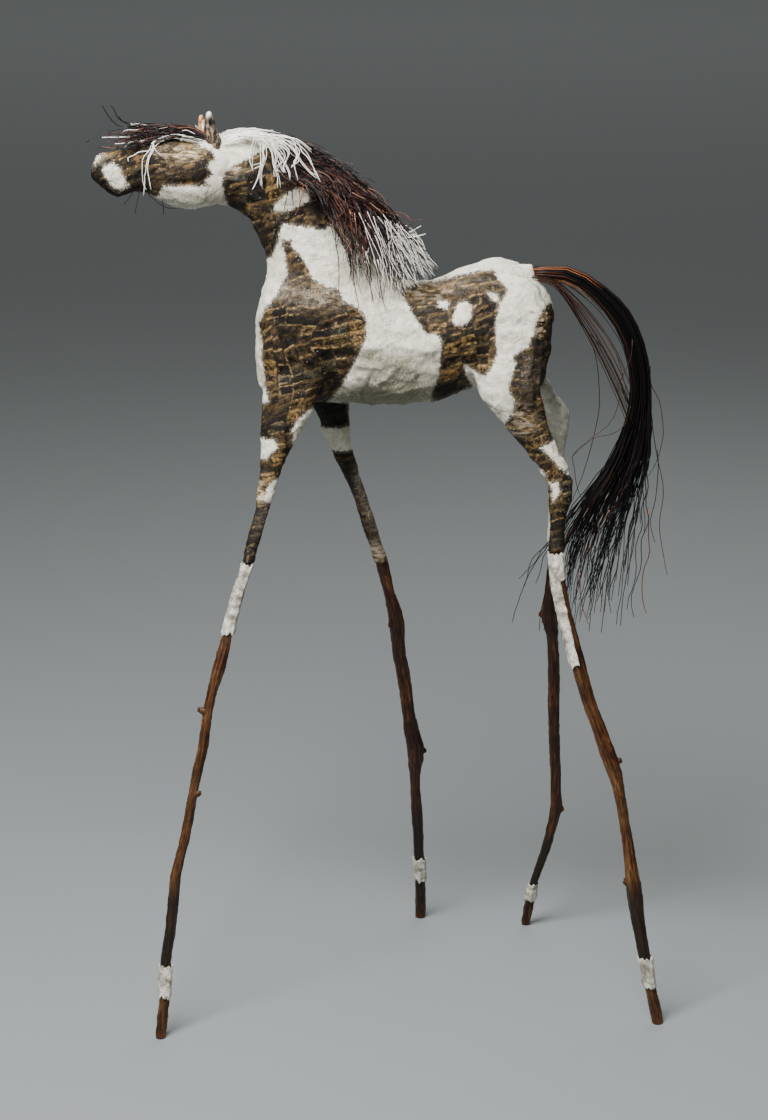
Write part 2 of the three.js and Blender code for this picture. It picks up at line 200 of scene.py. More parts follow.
# Soft ovals on the side of the horse, as x, z, half width and half height in mm and a strength: a thin
# grey film of paper over the collage, scraps that are darker or, above 0, lighter than the rest, and
# smudges where the white paper is thin and its olive-grey underlay shows through; low on the belly and
# under the jaw these smudges are also painted shade.
LEFT_FILM = [
    (-38, 478, 17, 8, 0.9), (-125, 566, 14, 6, 0.25), (-92, 556, 10, 6, 0.2), (48, 484, 36, 5, 0.3),
    (45, 466, 20, 12, 0.12), (-66, 482, 8, 8, 0.7), (-74, 330, 8, 22, 0.25), (96, 430, 8, 14, 0.3),
]
LEFT_TONE = [
    (-127, 566, 13, 5, 1.0), (-95, 558, 7, 5, 0.9), (-128, 552, 12, 6, -0.9), (-152, 552, 8, 9, -0.9),
    (-112, 556, 5, 6, -1.0), (-38, 538, 12, 16, -1.1), (-60, 552, 10, 5, -0.8), (-76, 512, 10, 20, -0.9),
    (42, 409, 22, 10, -1.0), (68, 458, 10, 6, -0.8), (104, 436, 9, 20, -0.8), (103, 456, 5, 10, 1.2),
    (-76, 316, 16, 20, -0.7), (118, 318, 14, 12, -1.0), (-186, 552, 8, 14, -1.2), (-166, 540, 16, 6, -1.4),
    (-24, 412, 16, 14, -0.9), (-80, 350, 8, 7, 1.3), (28, 478, 14, 6, 0.5), (-42, 535, 16, 22, -0.5),
    (-98, 534, 14, 8, -0.5), (92, 398, 10, 10, 0.4), (-66, 395, 16, 12, -0.4),
]
RIGHT_FILM = [
    (-124, 560, 14, 8, 0.8), (40, 474, 20, 10, 0.5), (-14, 344, 4, 14, 0.9), (-8, 324, 4, 12, 0.9),
    (-1, 306, 4, 10, 0.8), (-5, 288, 9, 6, 1.4),
]
RIGHT_TONE = [
    (-36, 400, 20, 24, -1.3), (-22, 344, 16, 20, -1.1), (-4, 312, 12, 14, -0.5), (-5, 288, 9, 6, 1.0),
    (94, 456, 12, 16, -0.6), (-182, 556, 10, 20, -0.8),
]
# Smudges of the near side: the underlay showing through, and painted shade low on the belly and under the
# jaw.
LEFT_SMUDGE_AND_SHADE = [
    (10, 434, 22, 7, 0.9), (14, 418, 28, 12, 1.0), (6, 404, 40, 11, 1.2), (-20, 408, 18, 8, 0.7),
    (-8, 438, 8, 4, 0.8), (62, 404, 12, 8, 0.5), (-100, 546, 10, 6, 0.4), (-118, 536, 22, 4, 0.6),
    (-26, 492, 8, 16, 0.25), (84, 410, 7, 12, 0.4), (-76, 498, 4, 12, 0.5), (-58, 534, 5, 4, 0.5),
    (128, 400, 10, 40, 0.3),
]
# Smudges of the far side: the underlay, and painted shade on the belly, under the jaw and on the leg top.
RIGHT_SMUDGE_AND_SHADE = [
    (0, 420, 50, 18, 0.7), (60, 408, 14, 10, 0.5), (-110, 542, 20, 8, 0.5), (-16, 378, 12, 10, 0.6),
]
# Soft swellings and hollows of the head, in the same form, in mm out of the surface.
HEAD_FORMS = [
    (-184, 566, 6, 5, 1.6), (-172, 569, 5, 5, -1.3), (-178, 547, 5, 3, -1.3), (-168, 541, 6, 4, 1.9),
    (-187, 555, 3, 3, -0.9), (-152, 569, 8, 4, 0.8), (-120, 558, 10, 7, 1.2), (-130, 549, 14, 2, -1.1),
    (-108, 541, 10, 6, 1.0), (-140, 560, 5, 4, -0.9),
]
# Creases and lapped edges of the paper: an open line on the side of the horse in x, z, and its height in
# mm, its width, and the step down that the paper takes below it.
LEFT_CREASES = [
    ([(-16, 440), (-11, 443), (-5, 443), (-1, 444), (7, 446), (14, 444), (22, 440), (32, 441)],
     0.9, 2.2, 0.9),
    ([(19, 442), (24, 444), (29, 447)], 0.8, 1.5, 0),
    ([(-3, 418), (5, 424), (10, 430)], 1.0, 1.4, 0.4),
    ([(75, 460), (79, 463), (84, 465), (88, 462)], 1.0, 1.8, 0.7),
    ([(78, 452), (84, 454), (90, 452), (95, 447)], 0.8, 1.6, 0.4),
    ([(80, 443), (86, 445), (92, 442)], 0.7, 1.5, 0.3),
    ([(-50, 497), (-44, 501), (-38, 502), (-32, 500), (-28, 497)], 0.7, 1.8, 0.4),
    ([(-106, 563), (-102, 554), (-96, 549), (-91, 547)], 0.8, 2.0, 0.3),
    ([(-20, 433), (-6, 430), (8, 433), (20, 429)], 0.6, 1.6, 0.2),
    ([(-14, 424), (0, 415), (14, 412), (28, 416)], 0.6, 1.6, 0.2),
    ([(-10, 452), (4, 456), (16, 452), (28, 457)], 0.5, 1.8, 0.3),
    ([(56, 402), (64, 411), (74, 406)], 0.8, 1.8, 0.3),
]
RIGHT_SWAY_SIZE, RIGHT_SWAY = 17, 14  # mm, how the outlines of the right side wander
SWAY_BEGINS, SWAY_FULL = 384, 410  # mm, the heights between which this sets in
SIDE_SEAM = 6  # mm either side of the middle, where the patches of the two sides run out
NOISE_SEED = 7  # without it the noise vectors would differ from run to run
LAP_EDGE = (-1.5, 1)  # mm into the collage, where the white paper steps down to it


def select_only(piece):
    """Makes one object the only one that the next operator acts on."""
    bpy.ops.object.select_all(action="DESELECT")
    piece.select_set(True)
    bpy.context.view_layer.objects.active = piece


def copy_of(node, name):
    """A new piece that starts as a CAD node's shape, with its loose triangles merged."""
    piece = bpy.data.objects.new(name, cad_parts[node].data.copy())
    piece.data.materials.clear()
    bpy.context.collection.objects.link(piece)
    select_only(piece)
    bpy.ops.object.mode_set(mode="EDIT")
    bpy.ops.mesh.select_all(action="SELECT")
    bpy.ops.mesh.remove_doubles(threshold=0.01 * MM)
    bpy.ops.object.mode_set(mode="OBJECT")
    return piece


def recast(piece, pitch):
    """Rebuilds a closed shape as an even shell with its points about this many mm apart."""
    shell = piece.modifiers.new("even shell", "REMESH")
    shell.mode = "VOXEL"
    shell.voxel_size = pitch * MM
    select_only(piece)
    bpy.ops.object.modifier_apply(modifier=shell.name)
    bpy.ops.object.shade_smooth()


def points_of(piece):
    """The piece's points in mm, one row each."""
    flat = np.empty(len(piece.data.vertices) * 3)
    piece.data.vertices.foreach_get("co", flat)
    return flat.reshape(-1, 3) / MM


def place_points(piece, points):
    """Puts the piece's points at these places in mm."""
    piece.data.vertices.foreach_set("co", (points * MM).ravel())
    piece.data.update()


def normals_of(piece):
    """The direction that the surface faces at each point."""
    flat = np.empty(len(piece.data.vertices) * 3)
    piece.data.vertex_normals.foreach_get("vector", flat)
    return flat.reshape(-1, 3)


def relax(piece, passes):
    """Rounds the shell off, a step in and a step out in turn so that thin parts keep their thickness."""
    points = points_of(piece)
    ends = np.empty(len(piece.data.edges) * 2, int)
    piece.data.edges.foreach_get("vertices", ends)
    first, second = ends.reshape(-1, 2).T
    count = len(points)
    neighbours = np.bincount(first, minlength=count) + np.bincount(second, minlength=count)
    for step in [0.5, -0.52] * passes:
        sums = np.empty_like(points)
        for axis in range(3):
            line = points[:, axis]
            sums[:, axis] = np.bincount(first, line[second], count)
            sums[:, axis] += np.bincount(second, line[first], count)
        points += step * (sums / neighbours[:, None] - points)
    place_points(piece, points)


def keep(piece, name, values):
    """Stores one number for each point of the piece, which its material reads."""
    piece.data.attributes.new(name, "FLOAT", "POINT").data.foreach_set("value", values)


def fade(low, high, values):
    """From 0 at low to 1 at high, with soft ends."""
    share = np.clip((values - low) / (high - low), 0, 1)
    return share * share * (3 - 2 * share)


def gap_to(x, z, line):
    """How far in mm each point lies from a line of straight stretches."""
    nearest = np.full(len(x), np.inf)
    for (ax, az), (bx, bz) in zip(line, line[1:]):
        along_x, along_z = bx - ax, bz - az
        share = ((x - ax) * along_x + (z - az) * along_z) / (along_x ** 2 + along_z ** 2)
        share = np.clip(share, 0, 1)
        nearest = np.minimum(nearest, np.hypot(x - ax - share * along_x, z - az - share * along_z))
    return nearest


def depth_inside(x, z, outline):
    """How far in mm each point lies inside a closed outline, or outside it as a negative number."""
    closed = outline + outline[:1]
    inside = np.zeros(len(x), bool)
    for (ax, az), (bx, bz) in zip(closed, closed[1:]):
        if az != bz:
            inside ^= ((az > z) != (bz > z)) & (x < ax + (z - az) / (bz - az) * (bx - ax))
    nearest = gap_to(x, z, closed)
    return np.where(inside, nearest, -nearest)


def spots(x, z, ovals):
    """The sum of soft ovals at each point."""
    total = np.zeros(len(x))
    for middle_x, middle_z, half_width, half_height, strength in ovals:
        away = ((x - middle_x) / half_width) ** 2 + ((z - middle_z) / half_height) ** 2
        total += strength * np.exp(-away)
    return total


LAP_REACH = 5  # widths of a crease, how far its step down is felt


def crease_height(x, z, creases):
    """How far in mm the creases and lapped edges stand out at each point."""
    height = np.zeros(len(x))
    for line, ridge, width, step in creases:
        line_x, line_z = np.array(line, float).T
        gap = gap_to(x, z, line)
        above = z - np.interp(x, line_x, line_z)
        near = np.exp(-(gap / width) ** 2)
        around = np.exp(-(gap / (LAP_REACH * width)) ** 2)
        height += ridge * near + step * (fade(-width, width, above) - 0.5) * around
    return height


def collage_depth(x, z, collage, white):
    """How far in mm each point lies inside the collage of one side."""
    depth = np.max([depth_inside(x, z, outline) for outline in collage], axis=0)
    for outline in white:
        depth = np.minimum(depth, -depth_inside(x, z, outline))
    return depth


noise.seed_set(NOISE_SEED)
body = copy_of("paper_body", "papier_mache_body")
recast(body, SHELL_PITCH)
relax(body, SHELL_RELAXING)
points = points_of(body)
x, y, z = points.T
beside = y - np.where(x < POLL_X, (x - POLL_X) * HEAD_TURN, 0)
left_depth = collage_depth(x, z, LEFT_COLLAGE, LEFT_WHITE)
sway = np.array([noise.noise_vector(Vector(place) / RIGHT_SWAY_SIZE) for place in points])
sway *= RIGHT_SWAY * fade(SWAY_BEGINS, SWAY_FULL, z)[:, None]
right_depth = collage_depth(x + sway[:, 0], z + sway[:, 2], RIGHT_COLLAGE, RIGHT_WHITE)
to_right = fade(-SIDE_SEAM, SIDE_SEAM, beside)
depth = left_depth * (1 - to_right) + right_depth * to_right
keep(body, "collage_depth", depth)
for name, left_spots, right_spots in [
        ("film", LEFT_FILM, RIGHT_FILM), ("smudge_and_shade", LEFT_SMUDGE_AND_SHADE, RIGHT_SMUDGE_AND_SHADE),
        ("tone", LEFT_TONE, RIGHT_TONE)]:
    keep(body, name, spots(x, z, left_spots) * (1 - to_right) + spots(x, z, right_spots) * to_right)


def paper_relief(place):
    """How far in mm the pasted paper stands out at a place: lumps, wrinkles and lapped sheets."""
    drift = noise.noise_vector(place / LUMP_SIZE) * WRINKLE_SIZE
    lumps = noise.noise(place / LUMP_SIZE) + 0.4 * noise.noise(place * 2.3 / LUMP_SIZE)
    folded = (place + drift) / WRINKLE_SIZE
    wrinkles = 0.5 - abs(noise.noise(folded)) * 2 + 0.4 * noise.noise(folded * 2.1)
    _, cells = noise.voronoi((place + drift * 1.5) / SHEET_SIZE)
    sheet = noise.cell(cells[0] * 7.3)
    return LUMP_HEIGHT * lumps + WRINKLE_HEIGHT * wrinkles + SHEET_STEP * sheet


slim = 1 - fade(LEG_FOOT, LEG_TOP, z)
relief = np.array([paper_relief(Vector(place)) for place in points])
relief *= 1 - slim * (1 - SLIM_RELIEF)
relief += LAP_HEIGHT * (1 - fade(*LAP_EDGE, depth))
relief += crease_height(x, z, LEFT_CREASES) * (1 - to_right)
relief += spots(x, z, HEAD_FORMS)
place_points(body, points + normals_of(body) * relief[:, None])

# Hand-made mulberry paper over newsprint pulp: matt, with long swirling fibres that show as fine relief.
# The collage is cut from brown and black printed scraps, about 10 mm long and 7 mm high, in rows that climb
# to the right, smeared and veiled in places. Torn white edges end in fibres a few mm long. The patterns
# read places in mm, so a scale of 0.3 repeats about every 3 mm.
skin, tree, shader = start_finish(
    "pasted mulberry paper and collage", Roughness=0.62, IOR=1.45, Specular_IOR_Level=0.2)
place = add_node(tree, "TexCoord")["Object"]
in_mm = add_node(tree, "VectorMath", {0: place, "Scale": 1 / MM}, operation="SCALE")[0]
swirl = add_node(tree, "TexNoise", {
    "Vector": in_mm, "Scale": 0.075, "Detail": 8, "Roughness": 0.6, "Distortion": 2.2})["Fac"]
white = add_node(tree, "ValToRGB", {"Fac": swirl}, stops=[
    (0.28, "#c4bda4"), (0.40, "#e3ddc8"), (0.52, "#f6f1e0"), (0.66, "#fffbed")])["Color"]
fibre = add_node(tree, "TexNoise", {
    "Vector": in_mm, "Scale": 0.3, "Detail": 6, "Roughness": 0.66, "Distortion": 5})["Fac"]
fibre_tint = add_node(tree, "ValToRGB", {"Fac": fibre}, stops=[
    (0.32, "#a9a595"), (0.44, "#e6e3da"), (0.54, "#ffffff"), (0.66, "#f0ecdf")])["Color"]
white = add_node(tree, "Mix", {0: 0.6, 6: white, 7: fibre_tint},
                 data_type="RGBA", blend_type="MULTIPLY")[2]
# Olive-grey smudges: the underlay showing through thin paper, and painted shade low on the belly and under
# the jaw.
smudge_and_shade = add_node(tree, "Attribute", attribute_name="smudge_and_shade")["Fac"]
smudge_and_shade_there = add_node(tree, "MapRange", {"Value": fibre, "From Min": 0.68, "From Max": 0.46})[0]
smudge_and_shade = add_node(tree, "Math", {0: smudge_and_shade, 1: smudge_and_shade_there}, operation="MULTIPLY", use_clamp=True)[0]
white = add_node(tree, "Mix", {0: smudge_and_shade, 6: white, 7: linear("#827e68")}, data_type="RGBA")[2]

SCRAP_LENGTH, SCRAP_HEIGHT = 10, 7  # mm
ROW_CLIMB, ROW_DIP = 0.2, 0.3  # mm for each mm to the right, and for each mm out from the middle
ROW_WANDER, SCRAP_JITTER = (20, 20, 14), (2.4, 2.4, 2.0)  # mm that rows and single scraps lie askew
BLOB_MIDDLE = 0.42  # of a row's height, where its black figures sit
DARKEST_TONE = 0.85  # how much the darkest stain covers
TEAR_REACH = 11  # mm that the torn edges of the white paper reach in and out
HALF = (0.5, 0.5, 0.5)
wander = add_node(tree, "TexNoise", {"Vector": in_mm, "Scale": 0.03, "Detail": 1})["Color"]
wander = add_node(tree, "VectorMath", {0: wander, 1: HALF}, operation="SUBTRACT")[0]
jitter = add_node(tree, "TexNoise", {"Vector": in_mm, "Scale": 0.25, "Detail": 3})["Color"]
jitter = add_node(tree, "VectorMath", {0: jitter, 1: HALF}, operation="SUBTRACT")[0]
warped = add_node(tree, "VectorMath", {0: wander, 1: ROW_WANDER, 2: in_mm}, operation="MULTIPLY_ADD")[0]
warped = add_node(tree, "VectorMath", {0: jitter, 1: SCRAP_JITTER, 2: warped}, operation="MULTIPLY_ADD")[0]
warped = add_node(tree, "SeparateXYZ", {0: warped})
outwards = add_node(tree, "Math", {0: warped["Y"]}, operation="ABSOLUTE")[0]
height = add_node(tree, "Math", {0: warped["X"], 1: -ROW_CLIMB, 2: warped["Z"]}, operation="MULTIPLY_ADD")[0]
height = add_node(tree, "Math", {0: outwards, 1: -ROW_DIP, 2: height}, operation="MULTIPLY_ADD")[0]
flat_place = add_node(tree, "CombineXYZ", {0: warped["X"], 1: warped["Y"]})[0]
column_place = add_node(tree, "VectorMath", {0: flat_place, "Scale": 1 / SCRAP_LENGTH}, operation="SCALE")[0]
column = add_node(tree, "VectorMath", {0: column_place}, operation="FLOOR")[0]
in_column = add_node(tree, "VectorMath", {0: column_place}, operation="FRACTION")[0]
in_column = add_node(tree, "SeparateXYZ", {0: in_column})["X"]
step_up = add_node(tree, "TexWhiteNoise", {"Vector": column}, noise_dimensions="3D")["Value"]
rows = add_node(tree, "Math", {0: height, 1: 1 / SCRAP_HEIGHT, 2: step_up}, operation="MULTIPLY_ADD")[0]
row = add_node(tree, "Math", {0: rows}, operation="FLOOR")[0]
in_row = add_node(tree, "Math", {0: rows}, operation="FRACT")[0]
scrap_cell = add_node(tree, "CombineXYZ", {2: row})[0]
scrap_cell = add_node(tree, "VectorMath", {0: scrap_cell, 1: column})[0]
scrap = add_node(tree, "TexWhiteNoise", {"Vector": scrap_cell}, noise_dimensions="3D")
scrap_pick = add_node(tree, "SeparateColor", {0: scrap["Color"]})
collage = add_node(tree, "ValToRGB", {"Fac": scrap["Value"]}, steps=True, stops=[
    (0.0, "#1c150d"), (0.16, "#382c1a"), (0.36, "#483a23"), (0.56, "#56472d"), (0.72, "#4b4a3e"),
    (0.80, "#6b5636"), (0.92, "#8e744a")])["Color"]
sloped = add_node(tree, "CombineXYZ", {0: warped["X"], 1: warped["Y"], 2: height})[0]
ink = add_node(tree, "TexNoise", {
    "Vector": sloped, "Scale": 0.34, "Detail": 5, "Roughness": 0.78})["Fac"]
ink_tint = add_node(tree, "ValToRGB", {"Fac": ink}, stops=[
    (0.36, "#3a3228"), (0.45, "#796f60"), (0.53, "#b0a592"), (0.62, "#efe2cb"), (0.72, "#ffffff")])["Color"]
collage = add_node(tree, "Mix", {0: 0.9, 6: collage, 7: ink_tint},
                   data_type="RGBA", blend_type="MULTIPLY")[2]
collage = add_node(tree, "VectorMath", {0: collage, "Scale": 1.5}, operation="SCALE")[0]

# What lies on the scraps, from the lowest: a lighter upper half, black figures in the middle of a row, a
# pale cut edge along the top and at one end, the dark seam to the next scrap, and pale specks.
under_edge = add_node(tree, "MapRange", {
    "Value": in_row, "From Min": 0.45, "From Max": 0.95, "To Max": 0.5})[0]
under_edge = add_node(tree, "Math", {0: under_edge, 1: scrap_pick[0]}, operation="MULTIPLY")[0]
blob = add_node(tree, "TexNoise", {"Vector": sloped, "Scale": 0.3, "Detail": 4, "Roughness": 0.72})["Fac"]
blob = add_node(tree, "MapRange", {"Value": blob, "From Min": 0.485, "From Max": 0.51, "To Max": 0.95})[0]
mid_row = add_node(tree, "Math", {0: in_row, 1: BLOB_MIDDLE}, operation="SUBTRACT")[0]
mid_row = add_node(tree, "Math", {0: mid_row}, operation="ABSOLUTE")[0]
mid_row = add_node(tree, "MapRange", {"Value": mid_row, "From Min": 0.36, "From Max": 0.26})[0]
blob = add_node(tree, "Math", {0: blob, 1: mid_row}, operation="MULTIPLY")[0]
edge_there = add_node(tree, "MapRange", {"Value": ink, "From Min": 0.485, "From Max": 0.53})[0]
edges = []
for at_edge, picked in [
        ({"Value": in_row, "From Min": 0.84, "From Max": 0.88, "To Max": 0.8},
         {"Value": scrap_pick[1], "From Min": 0.35, "From Max": 0.7}),
        ({"Value": in_column, "From Min": 0.22, "From Max": 0.12, "To Max": 0.7},
         {"Value": scrap_pick[2], "From Min": 0.6, "From Max": 0.75})]:
    edge = add_node(tree, "MapRange", at_edge)[0]
    for limit in (edge_there, add_node(tree, "MapRange", picked)[0]):
        edge = add_node(tree, "Math", {0: edge, 1: limit}, operation="MULTIPLY")[0]
    edges.append(edge)
seam = add_node(tree, "MapRange", {"Value": in_column, "From Min": 0.1, "From Max": 0.04, "To Max": 0.7})[0]
speck = add_node(tree, "TexNoise", {"Vector": sloped, "Scale": 0.75, "Detail": 2, "Roughness": 0.6})["Fac"]
speck = add_node(tree, "MapRange", {"Value": speck, "From Min": 0.69, "From Max": 0.74, "To Max": 0.8})[0]
for there, colour in [
        (under_edge, "#6c5939"), (blob, "#0a0806"), (edges[0], "#9c8358"), (edges[1], "#8a7450"),
        (seam, "#1c150d"), (speck, "#b8aa8c")]:
    collage = add_node(tree, "Mix", {0: there, 6: collage, 7: linear(colour)}, data_type="RGBA")[2]

# Glue and soft paper smeared over the scraps where their tone is light, and dark stain where it is dark.
smear_place = add_node(tree, "VectorMath", {0: in_mm, 1: (0.3, 0.5, 1)}, operation="MULTIPLY")[0]
smear = add_node(tree, "TexNoise", {
    "Vector": smear_place, "Scale": 0.26, "Detail": 6, "Roughness": 0.68, "Distortion": 1.4})["Fac"]
smear_colour = add_node(tree, "ValToRGB", {"Fac": smear}, stops=[
    (0.38, "#3a2c1c"), (0.46, "#7d6848"), (0.54, "#b19d7c"), (0.63, "#e2d6c2")])["Color"]
tone = add_node(tree, "Attribute", attribute_name="tone")["Fac"]
light_there = add_node(tree, "MapRange", {"Value": smear, "From Min": 0.41, "From Max": 0.5})[0]
lighter = add_node(tree, "Math", {0: tone, 1: light_there}, operation="MULTIPLY", use_clamp=True)[0]
collage = add_node(tree, "Mix", {0: lighter, 6: collage, 7: smear_colour}, data_type="RGBA")[2]
darker = add_node(tree, "Math", {0: tone, 1: -DARKEST_TONE}, operation="MULTIPLY", use_clamp=True)[0]
collage = add_node(tree, "Mix", {0: darker, 6: collage, 7: linear("#120e0a")}, data_type="RGBA")[2]

# Where the collage begins, and the thin film of white paper at its edges and here and there on it.
depth_value = add_node(tree, "Attribute", attribute_name="collage_depth")["Fac"]
tear = add_node(tree, "TexNoise", {
    "Vector": in_mm, "Scale": 0.3, "Detail": 8, "Roughness": 0.78, "Distortion": 2.5})["Fac"]
torn_depth = add_node(tree, "Math", {0: tear, 1: TEAR_REACH, 2: depth_value}, operation="MULTIPLY_ADD")[0]
is_collage = add_node(tree, "MapRange", {"Value": torn_depth, "From Min": 5.4, "From Max": 5.8})[0]
edge_film = add_node(tree, "MapRange", {
    "Value": torn_depth, "From Min": 7.4, "From Max": 5.5, "To Max": 0.7})[0]
film = add_node(tree, "Attribute", attribute_name="film")["Fac"]
film = add_node(tree, "Math", {0: film, 1: edge_film}, operation="MAXIMUM")[0]
veil = add_node(tree, "TexNoise", {
    "Vector": in_mm, "Scale": 0.42, "Detail": 7, "Roughness": 0.8, "Distortion": 3})["Fac"]
veil_there = add_node(tree, "MapRange", {"Value": veil, "From Min": 0.44, "From Max": 0.56})[0]
film = add_node(tree, "Math", {0: film, 1: veil_there}, operation="MULTIPLY", use_clamp=True)[0]
film_colour = add_node(tree, "ValToRGB", {"Fac": smear}, stops=[
    (0.38, "#6b5f50"), (0.5, "#a39786"), (0.62, "#cbc1b2")])["Color"]
collage = add_node(tree, "Mix", {0: film, 6: collage, 7: film_colour}, data_type="RGBA")[2]
colour = add_node(tree, "Mix", {0: is_collage, 6: white, 7: collage}, data_type="RGBA")[2]
tree.links.new(colour, shader.inputs["Base Color"])

CRUMPLE_RELIEF, INK_RELIEF = 1.7, 0.8  # heights against that of the fibres and of the crumpling
crumple = add_node(tree, "TexNoise", {
    "Vector": in_mm, "Scale": 0.13, "Detail": 5, "Roughness": 0.62, "Distortion": 1.2})["Fac"]
paper_height = add_node(tree, "Math", {0: crumple, 1: CRUMPLE_RELIEF, 2: fibre}, operation="MULTIPLY_ADD")[0]
scrap_height = add_node(tree, "Math", {0: ink, 1: INK_RELIEF, 2: crumple}, operation="MULTIPLY_ADD")[0]
relief_height = add_node(tree, "Mix", {0: is_collage, 2: paper_height, 3: scrap_height})[0]
bump = add_node(tree, "Bump", {"Height": relief_height, "Strength": 1.0, "Distance": 1.3 * MM})[0]
tree.links.new(bump, shader.inputs["Normal"])
body.data.materials.append(skin)
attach(body, "root")
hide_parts("paper_body")

# The four sticks
# Crooked peeled garden twigs under a brown stain, one a leg, glued into the paper at the top and sawn
# level at the foot. Knots and the stubs of side shoots stand out from them.
STICK_PITCH = 0.75  # mm
STICK_RELAXING = 8
SIDE_SHOOTS = {  # height in mm, direction in degrees from +X, radius and length of each stub
    "left_fore_stick": [(209, 180, 2.0, 7), (156, -20, 1.8, 6.5)],
    "right_fore_stick": [(231, -150, 2.4, 7), (133, 0, 2.4, 7.5)],
    "left_hind_stick": [(172, 10, 2.4, 7), (92, 170, 2.2, 7)],
    "right_hind_stick": [(240, 170, 2.6, 7.5), (91, 0, 2.2, 6)],
}
DARK_ZONES = {  # heights in mm between which the stain went on thick
    "left_fore_stick": (38, 84),
    "right_fore_stick": (36, 78),
    "left_hind_stick": (34, 80),
    "right_hind_stick": (26, 62),
}
PEELED = {  # how much of each stick took less stain
    "left_fore_stick": 0.17,
    "right_fore_stick": 0,
    "left_hind_stick": 0.2,
    "right_hind_stick": 0,
}
GRAIN_RIDGE = 0.76  # mm, the height of the ridges along the grain
STAIN_STRENGTH = 0.85
STAIN_BEGINS, STAIN_ENDS = 14, 22  # mm over which a dark zone fades in above the foot and out at its top
PEELED_SPOTS = 0.06  # to a mm, so they are some 17 mm long

# A peeled twig under a brushed brown stain: satin, dark in the hollows of the grain, with streaks about a
# mm wide that run along it.
stain, tree, shader = start_finish("stained peeled twig", Roughness=0.45, Specular_IOR_Level=0.3)
along_stick = add_node(tree, "Attribute", attribute_name="along_stick")["Vector"]
streaks = add_node(tree, "VectorMath", {0: along_stick, 1: (1, 1, 0.06)}, operation="MULTIPLY")[0]
streak = add_node(tree, "TexNoise", {
    "Vector": streaks, "Scale": 0.9, "Detail": 7, "Roughness": 0.75, "Distortion": 0.8})["Fac"]
wood = add_node(tree, "ValToRGB", {"Fac": streak}, stops=[
    (0.34, "#080402"), (0.44, "#221005"), (0.53, "#45260d"), (0.61, "#76491f"), (0.72, "#ab8049")])["Color"]
blotch = add_node(tree, "TexNoise", {"Vector": along_stick, "Scale": 0.045, "Detail": 3})["Fac"]
blotch_tint = add_node(tree, "ValToRGB", {"Fac": blotch}, stops=[
    (0.35, "#5b4638"), (0.5, "#b39f8c"), (0.65, "#f2e6da")])["Color"]
wood = add_node(tree, "Mix", {0: 0.9, 6: wood, 7: blotch_tint}, data_type="RGBA", blend_type="MULTIPLY")[2]
peeled = add_node(tree, "Attribute", attribute_name="peeled")["Fac"]
peeled_wood = add_node(tree, "ValToRGB", {"Fac": streak}, stops=[
    (0.32, "#2a1508"), (0.44, "#5f3b1b"), (0.54, "#94683a"), (0.66, "#bf9560")])["Color"]
wood = add_node(tree, "Mix", {0: peeled, 6: wood, 7: peeled_wood}, data_type="RGBA")[2]
thick_stain = add_node(tree, "Attribute", attribute_name="thick_stain")["Fac"]
wood = add_node(tree, "Mix", {0: thick_stain, 6: wood, 7: linear("#13100b")}, data_type="RGBA")[2]
tree.links.new(wood, shader.inputs["Base Color"])
bump = add_node(tree, "Bump", {"Height": streak, "Strength": 0.6, "Distance": 0.4 * MM})[0]
tree.links.new(bump, shader.inputs["Normal"])


def middle_line(node):
    """The heights in mm of a stick's level rings, and the middle of the stick at each."""
    corners = points_of(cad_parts[node])
    heights = np.unique(corners[:, 2].round(1))
    middles = [corners[abs(corners[:, 2] - height) < 0.1].mean(axis=0) for height in heights]
    return heights, np.array(middles)


def beside_stick(points, heights, middles):
    """Each point's place from the stick's middle line, with its own height: the way the grain runs."""
    return np.column_stack([
        points[:, 0] - np.interp(points[:, 2], heights, middles[:, 0]),
        points[:, 1] - np.interp(points[:, 2], heights, middles[:, 1]),
        points[:, 2],
    ])


def grain_height(across_x, across_y, height):
    """How far the ridges of the grain stand out, long coarse ones with finer ones on them."""
    coarse = noise.noise(Vector((across_x * 0.6, across_y * 0.6, height * 0.03)))
    return coarse + 0.5 * noise.noise(Vector((across_x, across_y, height * 0.2)))


for node, shoots in SIDE_SHOOTS.items():
    stick = copy_of(node, node + "_twig")
    heights, middles = middle_line(node)
    for height, direction, radius, length in shoots:
        turn = math.radians(direction)
        outward = Vector((math.cos(turn), math.sin(turn), 0.35)).normalized()
        middle = Vector([np.interp(height, heights, middles[:, axis]) for axis in range(3)])
        bpy.ops.object.select_all(action="DESELECT")
        bpy.ops.mesh.primitive_cone_add(
            vertices=10, radius1=radius * 1.5 * MM, radius2=radius * 0.8 * MM, depth=length * MM,
            location=(middle + outward * length / 2) * MM,
            rotation=outward.to_track_quat("Z", "Y").to_euler())
        stick.select_set(True)
        bpy.context.view_layer.objects.active = stick
        bpy.ops.object.join()
    recast(stick, STICK_PITCH)
    relax(stick, STICK_RELAXING)
    points = points_of(stick)
    grain_places = beside_stick(points, heights, middles)
    ridges = np.array([grain_height(*place) for place in grain_places])
    above_sole = fade(0, 3, points[:, 2])
    points += normals_of(stick) * (ridges * GRAIN_RIDGE * above_sole)[:, None]
    points[:, 2] = np.maximum(points[:, 2], 0)
    place_points(stick, points)
    low, high = DARK_ZONES[node]
    thick_stain = STAIN_STRENGTH * fade(low - STAIN_BEGINS, low, points[:, 2])
    keep(stick, "thick_stain", thick_stain * (1 - fade(high, high + STAIN_ENDS, points[:, 2])))
    spotted = np.array([noise.noise(Vector(place) * PEELED_SPOTS) for place in grain_places])
    keep(stick, "peeled", np.clip(PEELED[node] * (0.5 + spotted) * 1.6, 0, 1))
    stick.data.attributes.new("along_stick", "FLOAT_VECTOR", "POINT").data.foreach_set(
        "vector", grain_places.ravel())
    stick.data.materials.append(stain)
    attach(stick, "root")
    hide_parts(node)

